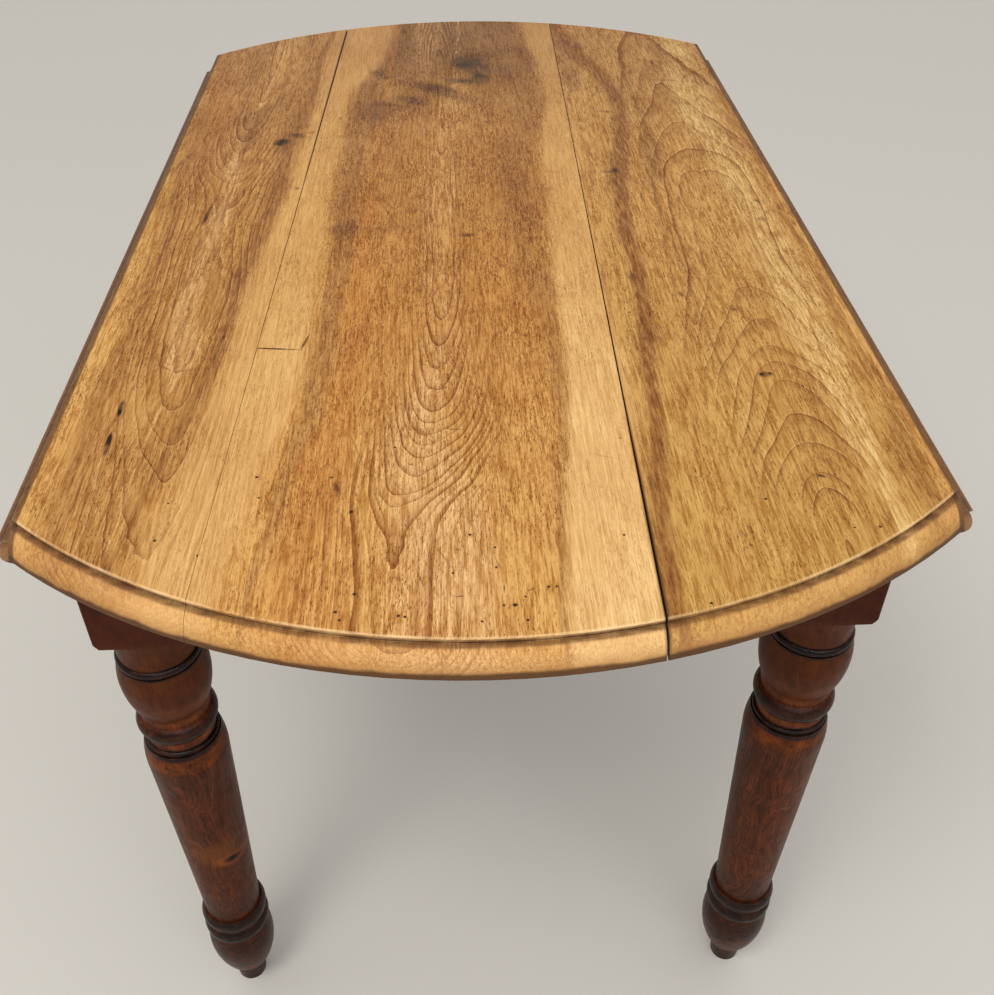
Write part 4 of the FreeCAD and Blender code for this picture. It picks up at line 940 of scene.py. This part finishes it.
# and of the ones that are rubbed to orange brown
WORN_MEMBERS = [(131, 1.6, 0.6), (430, 10, 0.4), (452, 5, 0.5), (484, 4, 0.45),
                (500, 12, 0.25), (62, 16, 0.5)]
BULB_START = (484, 492)         # over these heights the shaft's tone turns to the bulb's
BLOCK_START = (586, 596)        # and over these to the red of the square block
SWIRLS = 0.012                  # bends of the grain in a millimetre
SWIRL_REACH = (34, 60, 34)      # millimetres that they bend it by, in X, Z and Y
LEG_RELIEF = 0.0004             # metres that the fibres and dents are sunk


def members_at(tree, height, members):
    """1 at the heights of the listed members, each with its own strength."""
    total = 0
    for middle, half, strength in members:
        off = add(tree, "ShaderNodeMath", [height, middle], operation="SUBTRACT")
        off = add(tree, "ShaderNodeMath", [off], operation="ABSOLUTE")
        here = add(tree, "ShaderNodeMapRange", [off, half * 0.6, half * 1.15, strength, 0],
                   interpolation_type="SMOOTHSTEP")
        total = add(tree, "ShaderNodeMath", [total, here], operation="MAXIMUM")
    return total


print("members:", len(BLACK_MEMBERS), "black,", len(WORN_MEMBERS), "worn")

# %% Shellacked walnut of the legs
# knots and chips: across and up, radii, turn, tone, strength and solid share
LEG_MARKS = {
    "leg_front_left": [((-268, 285), (30, 30), 20, "#7c451b", 0.4, 0.1),
                       ((-257, 267), (19, 12), 12, "#8a4a1c", 0.7, 0.3),
                       ((-255, 267), (12, 8), 20, "#2a130a", 0.9, 0.3),
                       ((-255, 267), (4.5, 4), 0, "#0d0605", 0.95, 0.5)],
    "leg_front_right": [((284, 331), (9, 5), 20, "#6f4022", 0.6, 0.2),
                        ((283, 334), (6, 1.2), 12, "#1c0e09", 0.8, 0.3)],
    "leg_back_left": [((-270, 210), (3, 4), 0, "#1b0d09", 0.8, 0.3)],
    "leg_back_right": [((283, 372), (2.5, 6), 0, "#1b0d09", 0.8, 0.3)],
}


def shellacked_leg(name, seed):
    """Dark stained walnut with shellac, for one leg."""
    material, tree, shader = new_material("shellacked_walnut_" + name, IOR=1.5,
                                          Specular_IOR_Level=0.04,
                                          Coat_Roughness=0.06)
    place, _, up, _ = wood_place(tree, "xzy")
    moved = add(tree, "ShaderNodeVectorMath", [place, (seed, seed * 2.0, seed)])
    swirl = add(tree, "ShaderNodeTexNoise", {0: moved, 2: SWIRLS, 3: 2.0, 4: 0.5}, output=1)
    swirl = add(tree, "ShaderNodeVectorMath", [swirl, SWIRL_REACH], operation="MULTIPLY")
    bent = add(tree, "ShaderNodeVectorMath", [moved, swirl])
    fine = grain(tree, bent, 1.5, 45, 3.3, -0.3, 0.95, detail=3)
    painted = stain(tree, SHAFT, RUSSET, grain(tree, bent, 8, 150, 1.1, -0.25, 1.2, detail=3))
    painted = stain(tree, painted, SHAFT_DARK, fine)
    painted = stain(tree, painted, BULB,
                    add(tree, "ShaderNodeMapRange", [up, *BULB_START, 0, 0.7]))
    painted = stain(tree, painted, BLOCK,
                    add(tree, "ShaderNodeMapRange", [up, *BLOCK_START, 0, 0.75]))
    mottle = grain(tree, moved, 9, 14, 5.9, -0.6, 1.1, detail=4)
    painted = stain(tree, painted, SHAFT_DARK, mottle, 0.5)
    for centre, radii, turned, tone, strength, core in LEG_MARKS[name]:
        here = oval(tree, place, centre, radii, turned, core)
        painted = stain(tree, painted, colour(tone), here, strength)
    worn = grain(tree, moved, 22, 14, 5.5, -0.7, 1.3, detail=4)
    painted = stain(tree, painted, WORN, members_at(tree, up, WORN_MEMBERS), worn)
    missed = grain(tree, moved, 12, 5, 6.5, 0.5, 1.5, detail=3)
    black = members_at(tree, up, BLACK_MEMBERS)
    painted = stain(tree, painted, EBONY, black, missed)
    tree.links.new(add(tree, "ShaderNodeMapRange", [black, 0, 1, 0.08, 0.28]),
                   shader.inputs["Coat Weight"])
    dull = grain(tree, moved, 18, 30, 8.8, 0.3, 0.5, detail=4)
    dents = grain(tree, moved, 8, 10, 9.9)
    relief = add(tree, "ShaderNodeMath", [fine, dents])
    bump = wire(tree, shader, painted, relief, LEG_RELIEF, invert=True, dull=dull)
    tree.links.new(bump, shader.inputs["Coat Normal"])
    dress(material, name)
    return material


for leg_seed, leg_name in enumerate(LEG_MARKS, start=1):
    made = shellacked_leg(leg_name, 137.0 * leg_seed)
    print(made.name, len(made.node_tree.nodes), "nodes")

# %% [markdown]
# ## Rails
#
# The rails between the legs took the same stain, but in one flat coat, and nobody polishes
# a rail, so they are duller.  The two side rails run along Y and the end rails along X.

# %% Stained rails
RAIL = colour("#3e1d0f")
RAIL_LIGHT = colour("#60331a")
RAIL_RELIEF = 0.0003    # metres


def stained_rail(name, order):
    """Dark walnut rail with its grain along its own length."""
    material, tree, shader = new_material("stained_walnut_" + name, IOR=1.5,
                                          Specular_IOR_Level=0.3)
    place = wood_place(tree, order)[0]
    fine = grain(tree, place, 1.4, 50, 2.6, -0.3, 0.9, detail=3)
    painted = stain(tree, RAIL, RAIL_LIGHT, grain(tree, place, 12, 260, 1.4, -0.2, 1.2, detail=3))
    painted = stain(tree, painted, SHAFT_DARK, fine)
    dull = grain(tree, place, 20, 60, 8.8, 0.36, 0.56, detail=4)
    wire(tree, shader, painted, fine, RAIL_RELIEF, invert=True, dull=dull)
    dress(material, name)
    return material


for rail_name, rail_order in (("side_rail_left", "zyx"), ("side_rail_right", "zyx"),
                              ("end_rail_front", "zxy"), ("end_rail_back", "zxy")):
    print(stained_rail(rail_name, rail_order).name)

# %% [markdown]
# ## Hidden woodwork
#
# Under the top, nothing was stained or polished.  Battens, keepers and buttons are beech,
# gone brown with age and dust.  The lopers slide through the rails and are rubbed shiny.

# %% Beech and oak
BEECH = colour("#a97f54")
BEECH_DARK = colour("#70502f")
BEECH_RAYS = colour("#523722")
OAK = colour("#5b3a20")
SAWN_RELIEF = 0.0003    # metres


def bare_wood(name, pale, dark, order, roughness, *pieces):
    """Plain straight-grained wood with short flecks, without any polish."""
    material, tree, shader = new_material(name, IOR=1.5, Roughness=roughness)
    place = wood_place(tree, order)[0]
    broad = grain(tree, place, 9, 160, 1.9, -0.15, 1.1, detail=3)
    painted = stain(tree, pale, dark, broad)
    painted = stain(tree, painted, BEECH_RAYS, grain(tree, place, 0.9, 5, 4.7, -3, 2, detail=1),
                    0.5)
    wire(tree, shader, painted, broad, SAWN_RELIEF, strength=0.4)
    dress(material, *pieces)
    return material


CORNERS = [f"{end}_{side}" for end in ("front", "back") for side in ("left", "right")]
print(bare_wood("aged_beech_battens", BEECH, BEECH_DARK, "yxz", 0.7, "batten_front",
                "batten_back").name)
print(bare_wood("rubbed_beech_lopers", BEECH, BEECH_DARK, "yxz", 0.5,
                *[f"loper_{corner}" for corner in CORNERS]).name)
print(bare_wood("aged_beech_keepers", BEECH, BEECH_DARK, "yxz", 0.7, "top_buttons",
                *[f"loper_keeper_{corner}" for corner in CORNERS]).name)
print(bare_wood("oak_pegs", OAK, SHAFT_DARK, "xzy", 0.45, "joint_pegs",
                *[f"loper_stop_{corner}" for corner in CORNERS]).name)

# %% [markdown]
# ## Iron and steel
#
# The leaf hinges are stamped iron, once lacquered, now brown with a little rust.  The
# screws are plain steel with dull heads.  A metal's colour is the colour of its shine, so
# the rust, which is not metal, lowers the metallic value where it grows.

# %% Hinges and screws
IRON = colour("#5b5651")
RUST = colour("#5c3623")
STEEL = colour("#8f8a82")
RUST_RELIEF = 0.0002    # metres


def aged_metal(name, clean, rust_start, *pieces):
    """Bare metal with patches of rust; rust begins at that level of the noise."""
    material, tree, shader = new_material(name)
    place = wood_place(tree)[0]
    patches = grain(tree, place, 5, 5, 2.2, detail=5)
    rust = add(tree, "ShaderNodeMapRange", [patches, rust_start, rust_start + 0.24, 0, 1])
    metallic = add(tree, "ShaderNodeMapRange", [rust, 0, 1, 1, 0.1])
    tree.links.new(metallic, shader.inputs["Metallic"])
    dull = add(tree, "ShaderNodeMapRange", [rust, 0, 1, 0.42, 0.85])
    wire(tree, shader, stain(tree, clean, RUST, rust), patches, RUST_RELIEF, strength=0.4,
         dull=dull)
    dress(material, *pieces)
    return material


SIDES = ("left", "right")
print(aged_metal("rusted_iron", IRON, 0.42,
                 *[f"{part}_{side}" for part in ("hinge_plates", "hinge_pins", "leaf_plates")
                   for side in SIDES]).name)
print(aged_metal("dull_steel", STEEL, 0.66, "button_screws", "batten_screws", "keeper_screws",
                 *[f"{part}_{side}" for part in ("hinge_screws", "leaf_screws")
                   for side in SIDES]).name)
